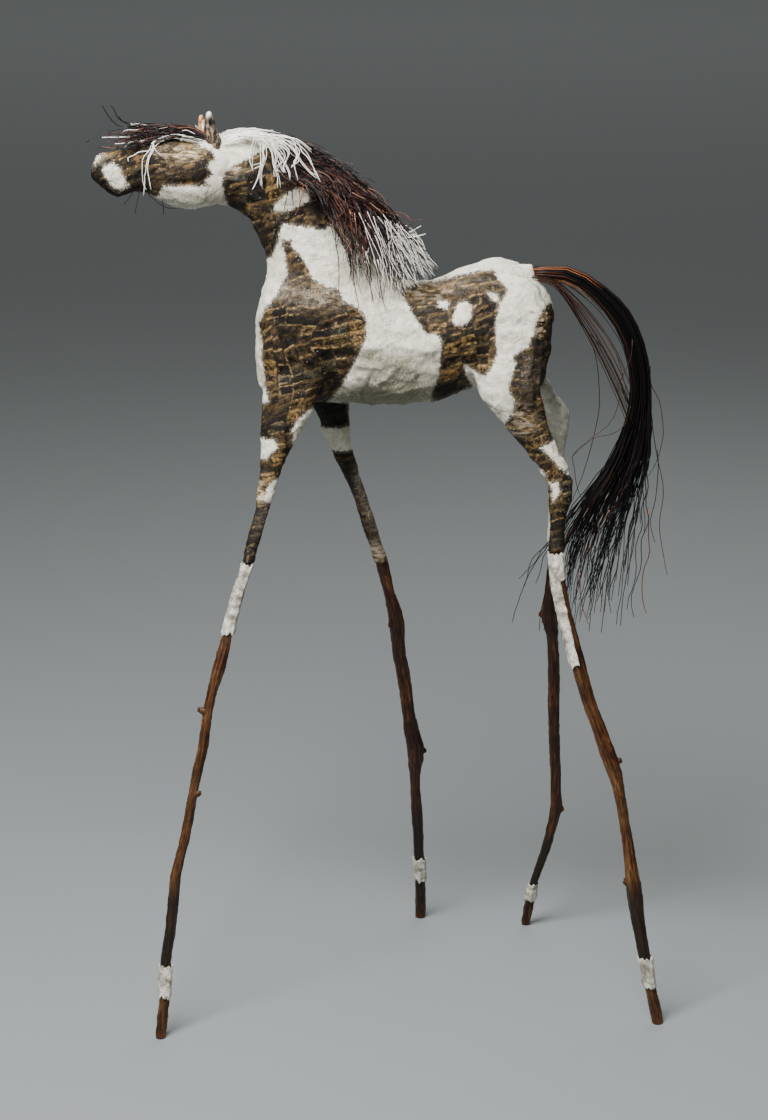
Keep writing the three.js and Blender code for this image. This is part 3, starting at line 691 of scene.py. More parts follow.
# The paper bands
# Strips of the same white paper wound and glued round the sticks: a band low on each leg, a long wrap
# at the left fore knee and a torn strip down the left hind stick. Their ends are torn and they are soiled.
BAND_PITCH = 0.5  # mm
BANDS = ["left_fore_cuff", "right_fore_cuff", "left_hind_cuff", "right_hind_cuff", "left_fore_knee_wrap",
         "left_hind_paper_strip"]
FRAY = 3  # mm that the torn ends run up and down
BAND_CREASE = 0.45  # mm

# The same fibrous paper as the skin, matt, soiled by handling and glue.
soiled, tree, shader = start_finish("soiled mulberry paper band", Roughness=0.7, IOR=1.45)
place = add_node(tree, "TexCoord")["Object"]
in_mm = add_node(tree, "VectorMath", {0: place, "Scale": 1 / MM}, operation="SCALE")[0]
fibre = add_node(tree, "TexNoise", {
    "Vector": in_mm, "Scale": 0.4, "Detail": 6, "Roughness": 0.65, "Distortion": 4})["Fac"]
paper = add_node(tree, "ValToRGB", {"Fac": fibre}, stops=[
    (0.3, "#8d8778"), (0.42, "#bdb9ad"), (0.55, "#dedbd2"), (0.7, "#efece4")])["Color"]
smudge_and_shade = add_node(tree, "TexNoise", {"Vector": in_mm, "Scale": 0.13, "Detail": 4, "Roughness": 0.7})["Fac"]
smudge_tint = add_node(tree, "ValToRGB", {"Fac": smudge_and_shade}, stops=[
    (0.36, "#5e5244"), (0.47, "#c9c3b6"), (0.58, "#ffffff")])["Color"]
paper = add_node(tree, "Mix", {0: 0.8, 6: paper, 7: smudge_tint}, data_type="RGBA", blend_type="MULTIPLY")[2]
tree.links.new(paper, shader.inputs["Base Color"])
bump = add_node(tree, "Bump", {"Height": fibre, "Strength": 0.7, "Distance": 0.5 * MM})[0]
tree.links.new(bump, shader.inputs["Normal"])

for node in BANDS:
    band = copy_of(node, node + "_paper")
    recast(band, BAND_PITCH)
    relax(band, 2)
    points = points_of(band)
    low, high = points[:, 2].min(), points[:, 2].max()
    share = (points[:, 2] - low) / (high - low)
    fray = np.array([noise.noise(Vector((px * 0.5, py * 0.5, 9.0))) for px, py, _ in points])
    points[:, 2] += fray * FRAY * np.abs(share * 2 - 1) ** 3
    creases = np.array([noise.noise(Vector(place) * 0.28) for place in points])
    place_points(band, points + normals_of(band) * (creases * BAND_CREASE)[:, None])
    band.data.materials.append(soiled)
    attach(band, "root")
    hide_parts(node)

# The ears
# Two short rolls of bark-brown paper pushed into the poll, wider at the foot, each with its opening to the
# side. The left one is dark with a white tip round an opening painted black as the shade in its hollow,
# the right one tan with a pale inside.
EAR_PITCH = 0.6  # mm
EARS = {
    # The left ear's near-black opening colour is painted shade in the hollow of the roll.
    "left_ear": {"dark": "#1f1610", "middle": "#5d4c3a", "light": "#9c8c76", "tip": "#e9e4da",
                 "opening": "#080706", "opening_at": (-108.5, 586), "flare": 1.7},
    "right_ear": {"dark": "#6e4520", "middle": "#b07a40", "light": "#cfa066", "tip": "#c79a62",
                  "opening": "#efe5d2", "opening_at": (-113.5, 583), "flare": 0.9},
}
OPENING_SIZE = (2.1, 3.6)  # mm, half its width and height
EAR_FOOT_IN, EAR_FOOT_FORWARD = 4.5, 1.2  # mm that the foot of each roll is set to the middle and the front
for node, look in EARS.items():
    ear = copy_of(node, node + "_roll")
    recast(ear, EAR_PITCH)
    relax(ear, 3)
    low, high = (corner.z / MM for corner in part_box(node))
    points = points_of(ear)
    facing = normals_of(ear)
    rise = (points[:, 2] - low) / (high - low)
    crumple = np.array([noise.noise(Vector(place) * 0.45) for place in points])
    opening = spots(points[:, 0], points[:, 2], [(*look["opening_at"], *OPENING_SIZE, 1)])
    opening *= facing[:, 1] < 0
    points[:, 1] += (1 - rise) * math.copysign(EAR_FOOT_IN, -points[:, 1].mean())
    points[:, 0] -= (1 - rise) * EAR_FOOT_FORWARD
    swell = look["flare"] * (1 - fade(0.1, 0.75, rise)) + 0.5 + 0.7 * crumple - 1.3 * opening
    place_points(ear, points + facing * swell[:, None])
    keep(ear, "opening", opening)
    # Rolled bark paper with its fibres along it: matt, streaked, paler at the torn tip.
    bark, tree, shader = start_finish(node.replace("_", " ") + " bark paper", Roughness=0.6, IOR=1.45)
    place = add_node(tree, "TexCoord")["Object"]
    in_mm = add_node(tree, "VectorMath", {0: place, "Scale": 1 / MM}, operation="SCALE")[0]
    up = add_node(tree, "SeparateXYZ", {0: place})["Z"]
    along = add_node(tree, "VectorMath", {0: in_mm, 1: (1, 1, 0.3)}, operation="MULTIPLY")[0]
    streak = add_node(tree, "TexNoise", {
        "Vector": along, "Scale": 0.55, "Detail": 4, "Roughness": 0.7})["Fac"]
    colour = add_node(tree, "ValToRGB", {"Fac": streak}, stops=[
        (0.38, "#0d0907"), (0.46, look["dark"]), (0.54, look["middle"]), (0.64, look["light"])])["Color"]
    near_tip = add_node(tree, "MapRange", {
        "Value": up, "From Min": (high - 4) * MM, "From Max": (high - 1) * MM, "To Max": 0.8})[0]
    colour = add_node(tree, "Mix", {0: near_tip, 6: colour, 7: linear(look["tip"])}, data_type="RGBA")[2]
    # The left ear's near-black opening is painted shade in the hollow of the roll; the right ear's is its
    # pale inside.
    inside = add_node(tree, "Attribute", attribute_name="opening")["Fac"]
    inside = add_node(tree, "MapRange", {"Value": inside, "From Min": 0.35, "From Max": 0.7})[0]
    colour = add_node(tree, "Mix", {0: inside, 6: colour, 7: linear(look["opening"])}, data_type="RGBA")[2]
    tree.links.new(colour, shader.inputs["Base Color"])
    bump = add_node(tree, "Bump", {"Height": streak, "Strength": 0.8, "Distance": 0.5 * MM})[0]
    tree.links.new(bump, shader.inputs["Normal"])
    ear.data.materials.append(bark)
    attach(ear, "root")
    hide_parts(node)

# The tail
# Some three hundred and fifty enamelled copper wires, bound in one bundle that arches out of the rump and
# fans out behind the hind legs. Most are black, a few red-brown, clear or bare.
WIRE_SIDES = 4
WIRE_SIDEWAYS = (0.05, 1, 0.03)  # hardly any wire runs this way, so its rings don't twist
draw = random.Random(7)


def smooth_line(points, count):
    """The smooth line through a few points, as this many points."""
    knots = np.array(points, float)
    knots = np.vstack([2 * knots[0] - knots[1], knots, 2 * knots[-1] - knots[-2]])
    places = np.linspace(0, len(points) - 1, count)
    first = np.minimum(places.astype(int), len(points) - 2)
    t = (places - first)[:, None]
    a, b, c, d = (knots[first + i] for i in range(4))
    return 0.5 * (2 * b + (c - a) * t + (2 * a - 5 * b + 4 * c - d) * t ** 2
                  + (3 * b - a - 3 * c + d) * t ** 3)


def make_wires(name, node, lines, finish, thickness):
    """One piece of round wires with closed ends, each along its line of points in mm and a little
    thinner at its tip. Each wire keeps a number for its colour."""
    turns = np.linspace(0, math.tau, WIRE_SIDES, endpoint=False)
    corners = []
    faces = []
    wire_numbers = []
    for line in lines:
        line = np.array(line, float)
        steps = len(line)
        runs = np.gradient(line, axis=0)
        runs /= np.linalg.norm(runs, axis=1)[:, None]
        aside = np.cross(runs, WIRE_SIDEWAYS)
        aside /= np.linalg.norm(aside, axis=1)[:, None]
        across = np.cross(runs, aside)
        radius = thickness / 2 * (1 - 0.35 * np.linspace(0, 1, steps) ** 6)
        first = len(corners) * WIRE_SIDES
        for middle, right, up, size in zip(line, aside, across, radius):
            ring = np.outer(np.cos(turns), right) + np.outer(np.sin(turns), up)
            corners.append(middle + size * ring)
        last = first + (steps - 1) * WIRE_SIDES
        for here in range(first, last, WIRE_SIDES):
            there = here + WIRE_SIDES
            for side in range(WIRE_SIDES):
                other = (side + 1) % WIRE_SIDES
                faces.append((here + side, here + other, there + other, there + side))
        faces.append(tuple(range(first + WIRE_SIDES - 1, first - 1, -1)))
        faces.append(tuple(range(last, last + WIRE_SIDES)))
        wire_numbers.append(np.full(steps * WIRE_SIDES, draw.random()))
    mesh = bpy.data.meshes.new(name)
    mesh.from_pydata(np.vstack(corners) * MM, [], faces)
    piece = bpy.data.objects.new(name, mesh)
    bpy.context.collection.objects.link(piece)
    select_only(piece)
    bpy.ops.object.shade_smooth()
    keep(piece, "wire", np.concatenate(wire_numbers))
    piece.data.materials.append(finish)
    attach(piece, "root")
    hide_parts(node)


def wire_finish(name, stops, roughness, metallic=0):
    """A drawn wire with a thin even coat: glossy, each wire its own shade from the ramp."""
    finish, tree, shader = start_finish(
        name, Roughness=roughness, Metallic=metallic, Specular_IOR_Level=0.3)
    each = add_node(tree, "Attribute", attribute_name="wire")["Fac"]
    colour = add_node(tree, "ValToRGB", {"Fac": each}, stops=stops)["Color"]
    tree.links.new(colour, shader.inputs["Base Color"])
    return finish


# Enamel baked on copper wire is a hard glossy coat, dark or clear. Bare copper shines as clean metal.
black_enamel = wire_finish("black enamelled wire", [
    (0.0, "#050506"), (0.6, "#09080a"), (0.85, "#150f0f"), (1.0, "#2c1b17")], roughness=0.36)
brown_enamel = wire_finish("brown enamelled wire", [
    (0.0, "#120b09"), (0.5, "#2a1a14"), (0.85, "#42291d"), (1.0, "#66412e")], roughness=0.34)
red_enamel = wire_finish("red enamelled wire", [
    (0.0, "#2a120e"), (0.5, "#50241b"), (0.85, "#7c4636"), (1.0, "#b08476")], roughness=0.32)
copper_enamel = wire_finish("clear enamelled copper wire", [
    (0.0, "#24130c"), (0.5, "#5a301c"), (0.85, "#925636"), (1.0, "#bf815a")], roughness=0.32)
bare_copper = wire_finish("bare copper wire", [
    (0.0, "#a55a3a"), (1.0, "#d08a62")], roughness=0.3, metallic=1)

# The outer and inner edge of the bundle, as x and z in mm, and how far along them a wire's points lie.
TAIL_OUTER = [(94, 490), (124, 491), (151, 474), (166, 456), (175, 431), (178, 400), (178, 369),
              (175, 338), (171, 300), (166, 240)]
TAIL_INNER = [(94, 485), (121, 482), (140, 468), (157, 443), (164, 412), (160, 383), (149, 356),
              (131, 326), (118, 292), (112, 238)]
TAIL_SHARES = np.concatenate([np.linspace(0, 0.5, 10, endpoint=False), np.linspace(0.5, 1, 36)])
TAIL_BEND = 0.48  # of its length, from where the wires hang loose
tail_inner, tail_outer = (
    smooth_line([(px, 0, pz) for px, pz in guide], 200)[(TAIL_SHARES * 199).round().astype(int)]
    for guide in (TAIL_INNER, TAIL_OUTER))


def tail_wire(across, depth, length, wildness):
    """One wire of the tail: across from the inner line at 0 to the outer at 1, depth from -1 to 1. Below
    the bend each takes its own way and curls, the more so the wilder it is."""
    loose = np.clip((TAIL_SHARES - TAIL_BEND) / (1 - TAIL_BEND), 0, 1) ** 1.3
    shares_across = across + loose * draw.uniform(-0.5, 0.12) * wildness
    line = tail_inner + (tail_outer - tail_inner) * shares_across[:, None]
    line[:, 1] += depth * (2.2 + 7 * TAIL_SHARES ** 0.8 + 7 * loose * wildness)
    for axis in (0, 1):
        slow, middling, quick = draw.uniform(8, 14), draw.uniform(20, 44), draw.uniform(70, 120)
        for speed, reach in ((slow, 52), (middling, 60), (quick, 110)):
            wave = draw.uniform(0, 1.3) * wildness * reach / speed
            line[:, axis] += wave * loose * np.sin(TAIL_SHARES * speed + draw.uniform(0, math.tau))
    return line[TAIL_SHARES <= length]


def bundle(count, **ranges):
    """This many wires of the tail, each drawn from the ranges that are given."""
    return [
        tail_wire(**{name: draw.uniform(*ends) if isinstance(ends, tuple) else ends
                     for name, ends in ranges.items()})
        for _ in range(count)]


black_wires = bundle(285, across=(0.02, 1), depth=(-1, 1), length=(0.64, 1), wildness=(0.4, 1.5))
brown_wires = bundle(12, across=(0, 1), depth=(-1.1, 0.2), length=(0.75, 1), wildness=(0.6, 1.4))
root_wires = bundle(13, across=(0.2, 1.06), depth=(-1.5, -0.2), length=(0.12, 0.24), wildness=1)
root_wires += bundle(8, across=(-0.25, 0.05), depth=(-0.8, 0.4), length=(0.16, 0.28), wildness=1)
make_wires("tail_black_wires", "tail_wires", black_wires, black_enamel, thickness=0.62)
make_wires("tail_brown_wires", "tail_wires", brown_wires, brown_enamel, thickness=0.55)
make_wires("tail_root_wires", "tail_wires", root_wires, copper_enamel, thickness=0.6)

# The single wires that stand out by themselves under the arch and behind the bundle.
TAIL_STRAYS = [
    [(98, -2, 485), (112, -3, 481), (121, -3, 469), (133, -4, 451), (145, -5, 438), (156, -6, 417),
     (164, -6, 390)],
    [(98, 0, 485), (112, 1, 481), (124, 1, 471), (136, 2, 459), (148, 2, 444), (156, 3, 429), (163, 4, 402)],
    [(98, -4, 485), (110, -4, 484), (122, -5, 479), (141, -6, 464), (157, -7, 441), (163, -8, 420)],
    [(98, 0, 485), (112, 0, 480), (123, 0, 469), (144, 0, 437), (162, 0, 401), (171, 0, 382)],
    [(98, -3, 484), (112, -4, 481), (122, -5, 469), (132, -6, 451), (140, -7, 435), (143, -9, 410),
     (142, -10, 391), (134, -11, 358), (125, -12, 335)],
    [(164, -8, 445), (163, -10, 432), (155, -11, 414), (156, -12, 406), (151, -14, 391), (138, -15, 380),
     (126, -15, 369), (127, -16, 361), (129, -17, 347), (138, -18, 327)],
    [(164, -6, 400), (160, -8, 388), (152, -10, 382), (139, -12, 379), (126, -14, 368)],
    [(177, 3, 425), (178, 4, 412), (184, 6, 400), (187, 8, 381), (186, 9, 370), (183, 9, 359),
     (178, 10, 349)],
    [(178, 5, 405), (179, 6, 388), (183, 7, 364), (188, 8, 340), (186, 10, 317), (188, 11, 301),
     (192, 12, 281)],
    [(183, 6, 368), (184, 6, 358), (183, 8, 335), (180, 10, 318), (183, 8, 304)],
]
COPPER_STRAYS = [
    [(178, 1, 330), (178, 0, 310), (179, 1, 298), (175, 2, 285), (175, 3, 267), (178, 4, 256)],
    [(132, -12, 288), (133, -12, 269), (138, -12, 253)],
    [(151, -16, 332), (143, -16, 318)],
    [(138, -16, 309), (134, -16, 300)],
]
strays = [smooth_line(stray, 20) for stray in TAIL_STRAYS]
for _ in range(16):
    low = draw.random()
    stray = [(98, -2, 485), (112, -1, 482 - 2 * low), (124, 0, 474 - 9 * low), (140, 0, 458 - 22 * low),
             (154, -2, 438 - 32 * low), (163, -3, 418 - 34 * low)]
    strays.append(smooth_line(stray, 16) + np.array([0, draw.uniform(-6, 4), draw.uniform(-1.5, 1.5)]))
copper_strays = [smooth_line(stray, 12) for stray in COPPER_STRAYS]
make_wires("tail_stray_wires", "tail_wires", strays, brown_enamel, thickness=0.48)
make_wires("tail_copper_wires", "tail_wires", copper_strays, bare_copper, thickness=0.6)

# The mane
# White bell wire glued along the crest from the poll, over a thick row of finer maroon, black and copper
# wires that are combed back and down the near side to the withers, where thin white ones spread out.
white_plastic = wire_finish("white plastic bell wire", [
    (0.0, "#b5b2a8"), (0.4, "#dedbd2"), (1.0, "#f7f5ee")], roughness=0.38)
dark_enamel = wire_finish("maroon and black enamelled wire", [
    (0.0, "#070606"), (0.4, "#110b0b"), (0.65, "#1e1110"), (0.82, "#341b17"), (0.93, "#54332a"),
    (1.0, "#80604f")], roughness=0.34)

body_surface = BVHTree.FromPolygons(
    [vertex.co / MM for vertex in body.data.vertices], [face.vertices[:] for face in body.data.polygons])


def clear_of_body(line, gap, rooted=2):
    """Moves a line's points out of the body, all but the first few, where the wire is glued in."""
    clear = []
    for index, place in enumerate(line):
        place = Vector(place)
        on_skin, facing, _, _ = body_surface.find_nearest(place)
        if index >= rooted and (place - on_skin).dot(facing) < gap:
            place = on_skin + facing * gap
        clear.append(place)
    return clear


def loosened(line, amount, straight=0.2):
    """Gives a wire its own slow wave, which grows towards its free end."""
    shares = np.linspace(0, 1, len(line))
    grown = np.clip((shares - straight) / (1 - straight), 0, 1) ** 1.3 * amount
    line = line.copy()
    for axis in range(3):
        wave = np.sin(shares * draw.uniform(3, 10) + draw.uniform(0, math.tau))
        line[:, axis] += grown * wave * draw.uniform(0.4, 1.3)
    return line


def combed(guides, start, run, across, drift, steps):
    """A wire that runs between two guide lines, from a start along them for a share of their length, at
    a share of the way across that drifts on the way."""
    first, second = (smooth_line(guide, 100) for guide in guides)
    shares = np.clip(start + run * np.linspace(0, 1, steps), 0, 1)
    places = np.clip(across + drift * np.linspace(0, 1, steps), -0.15, 1.02)[:, None]
    index = (shares * 99).astype(int)
    return first[index] * places + second[index] * (1 - places)


# The lines in mm that the mane lies between: its outer edge, its inner edge, and its edge on the far side.
MANE_OUTER = [(-68, 0, 574), (-55, -1, 573), (-45, -2, 569), (-35, -2, 562), (-23, -2, 553), (-11, -3, 543),
              (1, -4, 531), (13, -5, 517), (24, -8, 502), (33, -12, 490)]
MANE_INNER = [(-76, -14, 566), (-67, -20, 558), (-59, -22, 552), (-49, -22, 549), (-39, -23, 544),
              (-32, -24, 533), (-25, -25, 522), (-18, -27, 508), (-10, -29, 493), (-2, -30, 478)]
MANE_FAR = [(-70, 12, 570), (-58, 14, 562), (-46, 16, 550), (-36, 18, 536), (-28, 20, 520), (-20, 22, 506),
            (-10, 22, 494), (2, 20, 486)]


def mane_lines(count, guides, starts, runs, spread, amount):
    """Combed wires of the mane, each at its own height over the skin."""
    lines = []
    for _ in range(count):
        line = combed(guides, draw.uniform(*starts), draw.uniform(*runs), draw.random(),
                      draw.uniform(-spread, spread), steps=15)
        line[:, 1] += draw.uniform(-5, 4)
        lines.append(clear_of_body(loosened(line, amount), 0.5 + 7 * draw.random() ** 2))
    return lines


near_side = (MANE_OUTER, MANE_INNER)
far_side = (MANE_OUTER, MANE_FAR)
dark_mane = mane_lines(430, near_side, starts=(0, 0.6), runs=(0.22, 0.45), spread=0.6, amount=3.4)
dark_mane += mane_lines(120, near_side, starts=(0.05, 0.58), runs=(0.2, 0.35), spread=0.8, amount=5.5)
dark_mane += mane_lines(60, near_side, starts=(0.55, 0.66), runs=(0.2, 0.32), spread=0.5, amount=4)
dark_mane += mane_lines(110, far_side, starts=(0, 0.6), runs=(0.22, 0.4), spread=0.4, amount=2.6)
make_wires("mane_maroon_wires", "mane_wires", dark_mane, dark_enamel, thickness=0.46)
red_mane = mane_lines(18, near_side, starts=(0.2, 0.6), runs=(0.15, 0.3), spread=0.8, amount=6)
make_wires("mane_red_wires", "mane_wires", red_mane, red_enamel, thickness=0.46)

# Where the loose tips at the foot of the mane come out of it, and where they end.
TIP_ROOTS = [(-23, -24, 526), (-14, -21, 529), (-5, -14, 530), (4, -9, 525), (12, -7, 519)]
TIP_ENDS = [(-18, -31, 482), (-8, -33, 470), (4, -32, 470), (17, -28, 474), (28, -22, 480), (38, -16, 485),
            (35, -11, 494), (30, -8, 502)]
roots = smooth_line(TIP_ROOTS, 100)
ends = smooth_line(TIP_ENDS, 100)


def tip_lines(count, widest, begins, amount):
    """Loose wires at the foot of the mane, from its inner edge to a share of the way across it."""
    lines = []
    for _ in range(count):
        across = widest * draw.random() ** 0.6
        end_across = min(max(across + draw.uniform(-0.3, 0.2), 0), 1)
        astray = [draw.uniform(-5, 5), draw.uniform(-2, 3), draw.uniform(-3, 3)]
        root = roots[int(across * 99)] + np.array(astray)
        end = ends[int(end_across * 99)]
        middle = (root + end) / 2 + np.array([draw.uniform(-3, 4), -2, draw.uniform(-2, 4)])
        whole = smooth_line([root, middle, end], 40)
        line = whole[int(draw.uniform(*begins) * 40):int(40 * draw.uniform(0.86, 1))]
        lines.append(clear_of_body(loosened(line[::3], amount, 0.1), 0.5 + 5 * draw.random() ** 2, 0))
    return lines


white_tips = tip_lines(88, widest=1, begins=(0, 0.6), amount=1.8)
make_wires("mane_white_tips", "mane_wires", white_tips, white_plastic, thickness=0.34)
dark_tips = tip_lines(50, widest=0.75, begins=(0, 0.3), amount=2)
make_wires("mane_dark_tips", "mane_wires", dark_tips, dark_enamel, thickness=0.42)

# The lines that the white wires lie between: the crest and the edge of the white below it.
WHITE_TOP = [(-104, 1, 574), (-95, 0, 579), (-84, 0, 580.5), (-77, 0, 580), (-68, 0, 578), (-58, -1, 575),
             (-49, -3, 570), (-42, -6, 564)]
WHITE_LOW = [(-103, -13, 570), (-94, -15, 574), (-86, -16, 576), (-79, -18, 574), (-70, -19, 569),
             (-62, -21, 563), (-54, -22, 557), (-47, -23, 552)]
white_roots = []
for _ in range(40):
    line = combed((WHITE_TOP, WHITE_LOW), draw.uniform(0, 0.12), draw.uniform(0.35, 0.7),
                  draw.uniform(0.05, 1), draw.uniform(-0.25, 0.25), steps=16)
    white_roots.append(clear_of_body(loosened(line, 1.6, 0.4), draw.uniform(0.15, 0.9), 1))
for _ in range(14):
    line = combed((WHITE_TOP, MANE_FAR), draw.uniform(0, 0.1), draw.uniform(0.3, 0.7),
                  draw.uniform(0.4, 1), draw.uniform(-0.5, 0), steps=14)
    white_roots.append(clear_of_body(loosened(line, 2, 0.4), draw.uniform(0.2, 1), 1))

# The white tips that hang from one knot at the side of the crest, as x and z.
HANGING_WIRES = [
    [(-80, 576), (-82, 569), (-82, 563), (-82, 557)],
    [(-79, 576), (-77, 568), (-77, 559), (-79, 551), (-82, 545)],
    [(-77, 575), (-75, 568), (-75, 561), (-81, 558)],
    [(-76, 575), (-73, 566), (-76, 556), (-76, 546)],
    [(-75, 575), (-70, 569), (-68, 561), (-65, 553), (-64, 546)],
    [(-74, 575), (-69, 571), (-63, 563), (-59, 556), (-58, 551)],
    [(-72, 576), (-64, 571), (-61, 565), (-66, 558), (-67, 553)],
    [(-70, 577), (-63, 572), (-59, 567), (-62, 560), (-61, 556)],
    [(-69, 577), (-60, 573), (-54, 567), (-55, 560), (-53, 551)],
    [(-67, 577), (-58, 574), (-52, 569), (-54, 563), (-57, 559)],
    [(-66, 577), (-57, 572), (-52, 563), (-46, 556), (-41, 552)],
    [(-64, 578), (-55, 574), (-49, 570), (-45, 564), (-42, 556), (-40, 552)],
    [(-69, 578), (-60, 577), (-51, 574), (-44, 568)],
    [(-81, 577), (-71, 572), (-67, 565), (-63, 557), (-62, 556)],
    [(-73, 577), (-67, 572), (-66, 566), (-67, 559), (-64, 556)],
]
for hanging in HANGING_WIRES:
    for shift in (0, 2.2):  # mm, each with a second one beside it
        line = [(-92 + 2 * shift, -11, 577)]
        for step, (px, pz) in enumerate(hanging):
            line.append((px + draw.uniform(-1, 1) * shift, -17 - 3 * step - draw.uniform(0, 2),
                         pz + draw.uniform(-0.8, 1) * shift))
        white_roots.append(clear_of_body(smooth_line(line, 17), draw.uniform(0.6, 2.5), 1))
make_wires("mane_white_wires", "mane_wires", white_roots, white_plastic, thickness=0.5)


def laid(lines, steps, gap=None):
    """Wires laid one by one along these lines, kept clear of the body where a gap in mm is given."""
    wires = [smooth_line(line, steps) for line in lines]
    return [clear_of_body(wire, gap) for wire in wires] if gap else wires


# Single wires that stand out by themselves.
MANE_STRAYS = [
    [(-47, -2, 567), (-36, -3, 562), (-23, -4, 554), (-11, -6, 550), (-4, -7, 547)],
    [(-42, -2, 563), (-32, -3, 561), (-23, -4, 554), (-14, -6, 547)],
    [(-45, -1, 566), (-34, 0, 563), (-24, 1, 558), (-15, 2, 551)],
    [(-4, -7, 536), (7, -8, 527), (18, -9, 523), (30, -10, 523)],
    [(-6, -9, 535), (6, -10, 524), (16, -11, 519), (24, -12, 517)],
]
LONG_STRANDS = [
    [(-31, -25, 538), (-29, -27, 526), (-29, -30, 512), (-27, -32, 499), (-27, -35, 479)],
    [(-22, -25, 536), (-19, -28, 524), (-19, -30, 512), (-18, -32, 501), (-17, -34, 485), (-14, -36, 470)],
    [(-14, -24, 522), (-11, -27, 512), (-3, -30, 494), (0, -32, 482), (1, -34, 476), (3, -36, 468)],
    [(-58, -20, 556), (-58, -21, 552), (-59, -22, 545), (-61, -23, 536), (-62, -24, 531)],
    [(-57, -20, 556), (-57, -22, 552), (-57, -23, 543), (-56, -24, 534)],
    [(-22, -24, 530), (-17, -28, 520), (-10, -30, 508), (-7, -32, 497), (-6, -34, 486)],
]
RED_LOOPS = [
    [(-36, -22, 546), (-30, -24, 541), (-24, -26, 532), (-21, -27, 523), (-22, -28, 516)],
    [(-29, -23, 536), (-25, -27, 524), (-24, -29, 517), (-25, -30, 510)],
]
COPPER_STRANDS = [
    [(-50, -21, 551), (-50, -23, 545), (-51, -25, 538), (-53, -26, 531)],
    [(-51, -21, 552), (-52, -23, 543), (-52, -25, 535), (-55, -26, 528)],
    [(-17, -25, 530), (-16, -28, 522), (-15, -30, 514), (-13, -31, 506)],
    [(-20, -25, 532), (-19, -28, 524), (-18, -30, 515), (-18, -31, 508)],
]
WHITE_STRAYS = [
    [(-2, -12, 520), (5, -11, 515), (12, -10, 514), (19, -10, 515), (26, -10, 519)],
    [(-2, -12, 518), (6, -12, 513), (13, -12, 512), (21, -12, 512), (29, -12, 514)],
]
make_wires("mane_dark_strays", "mane_wires", laid(MANE_STRAYS, 14), dark_enamel, thickness=0.5)
make_wires("mane_long_strands", "mane_wires", laid(LONG_STRANDS, 16, 0.8), brown_enamel, thickness=0.62)
make_wires("mane_red_loops", "mane_wires", laid(RED_LOOPS, 16, 4), red_enamel, thickness=0.42)
make_wires("mane_copper_strands", "mane_wires", laid(COPPER_STRANDS, 12, 1), bare_copper, thickness=0.5)
make_wires("mane_white_strays", "mane_wires", laid(WHITE_STRAYS, 12), white_plastic, thickness=0.7)

# The forelock
# Maroon, black and red wires from between the ears, laid forward over the face, with white ones among and
# under them, of which some hang past the cheek.
FORELOCK_TOP = [(-106, -4, 574), (-112, -4, 577), (-119, -5, 581), (-129, -7, 583), (-142, -9, 583),
                (-155, -12, 583), (-165, -14, 582), (-176, -16, 579)]
FORELOCK_LOW = [(-106, -8, 572), (-112, -10, 575), (-123, -12, 576), (-136, -15, 576), (-146, -17, 575),
                (-157, -20, 572), (-167, -22, 571), (-178, -23, 573)]
forelock = (FORELOCK_TOP, FORELOCK_LOW)


def forelock_lines(count, starts, runs, spread, amount):
    """Wires of the forelock, laid out like those of the mane but over the whole width of the face."""
    lines = []
    for _ in range(count):
        line = combed(forelock, draw.uniform(*starts), draw.uniform(*runs), draw.random(),
                      draw.uniform(-spread, spread), steps=14)
        line[:, 1] += np.linspace(0.4, 1, 14) * draw.uniform(-5, 6)
        lines.append(clear_of_body(loosened(line, amount), 0.6))
    return lines


maroon_lock = forelock_lines(150, starts=(0, 0.35), runs=(0.35, 0.75), spread=0.6, amount=2.6)
make_wires("forelock_maroon_wires", "forelock_wires", maroon_lock, dark_enamel, thickness=0.46)
red_lock = forelock_lines(14, starts=(0.25, 0.6), runs=(0.2, 0.4), spread=0.6, amount=2.6)
make_wires("forelock_red_wires", "forelock_wires", red_lock, red_enamel, thickness=0.46)
grey_lock = forelock_lines(14, starts=(0.1, 0.75), runs=(0.12, 0.25), spread=0.4, amount=2)
make_wires("forelock_grey_wires", "forelock_wires", grey_lock, white_plastic, thickness=0.34)

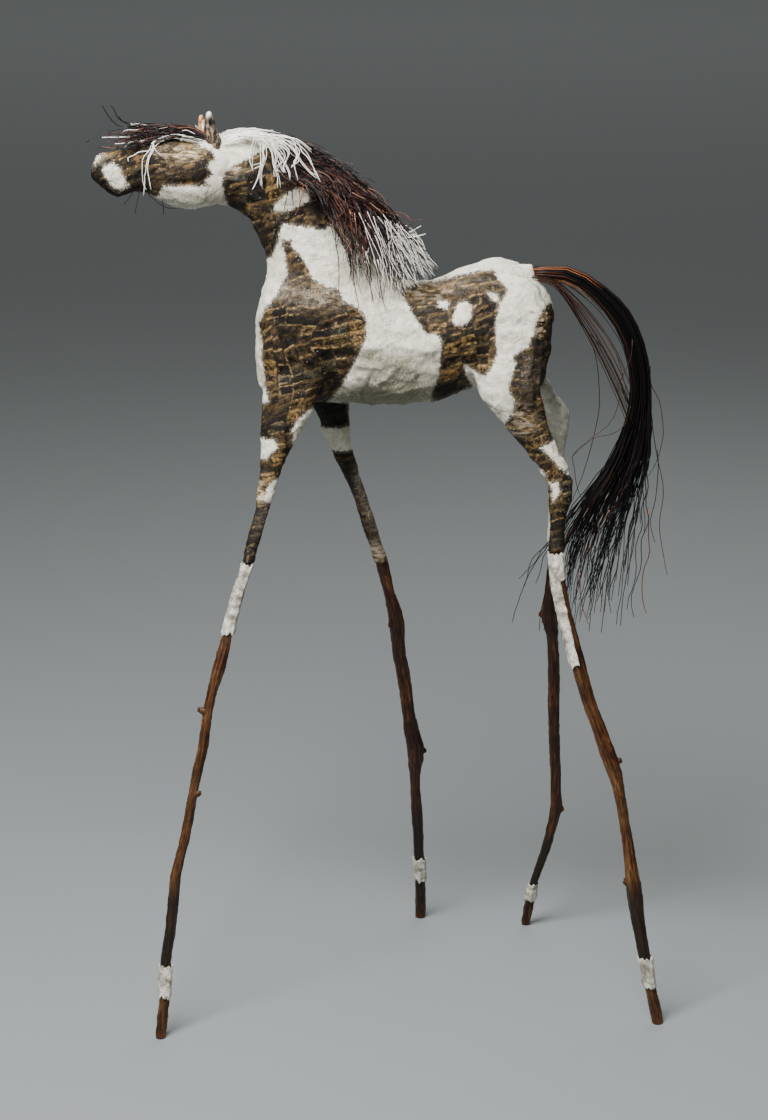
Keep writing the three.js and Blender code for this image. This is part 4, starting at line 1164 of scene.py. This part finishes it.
FORELOCK_STRAYS = [
    [(-146, -12, 583), (-158, -15, 584), (-163, -16, 584), (-168, -16, 584), (-173, -17, 589),
     (-176, -18, 594), (-178, -18, 598)],
    [(-144, -12, 582), (-156, -14, 583), (-162, -15, 585), (-168, -16, 589), (-170, -17, 594),
     (-173, -18, 598)],
    [(-148, -12, 585), (-160, -15, 586), (-165, -16, 587), (-168, -17, 591)],
    [(-146, -14, 580), (-157, -17, 579), (-164, -18, 579), (-173, -19, 579), (-182, -20, 577),
     (-188, -21, 574)],
    [(-148, -12, 583), (-159, -15, 583), (-166, -16, 582), (-174, -18, 581)],
]
make_wires("forelock_strays", "forelock_wires", laid(FORELOCK_STRAYS, 14), black_enamel, thickness=0.62)
FORELOCK_WHITES = [
    [(-138, -12, 578), (-150, -15, 577), (-161, -18, 577), (-170, -19, 577), (-178, -20, 577)],
    [(-138, -12, 577), (-150, -15, 576), (-159, -18, 574), (-165, -19, 573), (-170, -20, 573)],
    [(-118, -9, 574), (-130, -12, 576), (-144, -20, 575), (-147, -21, 571), (-148, -21, 568),
     (-152, -22, 563), (-153, -22, 556), (-152, -23, 548), (-150, -24, 544)],
    [(-118, -9, 574), (-130, -12, 576), (-144, -20, 575), (-146, -21, 569), (-149, -22, 563),
     (-151, -23, 554), (-151, -24, 548), (-152, -24, 540)],
    [(-118, -9, 574), (-130, -12, 576), (-144, -20, 575), (-145, -21, 569), (-148, -22, 564),
     (-149, -23, 557), (-148, -24, 550), (-147, -24, 544)],
    [(-140, -17, 575), (-147, -21, 569), (-154, -22, 568), (-159, -22, 565), (-162, -22, 563),
     (-162, -22, 559)],
    [(-140, -17, 576), (-144, -19, 575), (-145, -21, 572), (-143, -22, 568), (-140, -22, 565)],
    [(-130, -13, 576), (-137, -15, 576), (-141, -17, 576), (-148, -18, 575), (-157, -19, 574)],
    [(-150, -12, 584), (-156, -13, 585), (-160, -14, 584), (-157, -14, 583)],
    [(-149, -12, 583), (-155, -13, 583), (-161, -14, 586)],
]
white_lock = laid(FORELOCK_WHITES, 20, 0.7)
make_wires("forelock_white_wires", "forelock_wires", white_lock, white_plastic, thickness=0.6)
FORELOCK_LOWER = [(-113, -9, 572), (-118, -12, 574), (-125, -14, 576), (-133, -15, 577), (-141, -17, 576)]
lower_lock = []
for _ in range(10):
    astray = [draw.uniform(-2, 2), draw.uniform(-1.5, 1), draw.uniform(-1.5, 1.5)]
    line = smooth_line(FORELOCK_LOWER, 12) + np.array(astray)
    lower_lock.append(clear_of_body(loosened(line, 0.8), 0.5))
make_wires("forelock_lower_wires", "forelock_wires", lower_lock, white_plastic, thickness=0.42)

# The whiskers
# A few short ends of black wire pushed into the chin and the jaw.
WHISKERS = [
    [(-157, -19, 547), (-159, -20, 542), (-161, -20, 539), (-165, -21, 534)],
    [(-154, -18, 547), (-155, -19, 542), (-156, -20, 537), (-158, -21, 528)],
    [(-141, -13, 542), (-141, -14, 538), (-140, -15, 532), (-140, -16, 527)],
    [(-153, -14, 546), (-150, -15, 541), (-146, -16, 537), (-141, -16, 533), (-136, -15, 531),
     (-130, -13, 531)],
]
make_wires("chin_whiskers", "forelock_wires", laid(WHISKERS, 10), black_enamel, thickness=0.5)
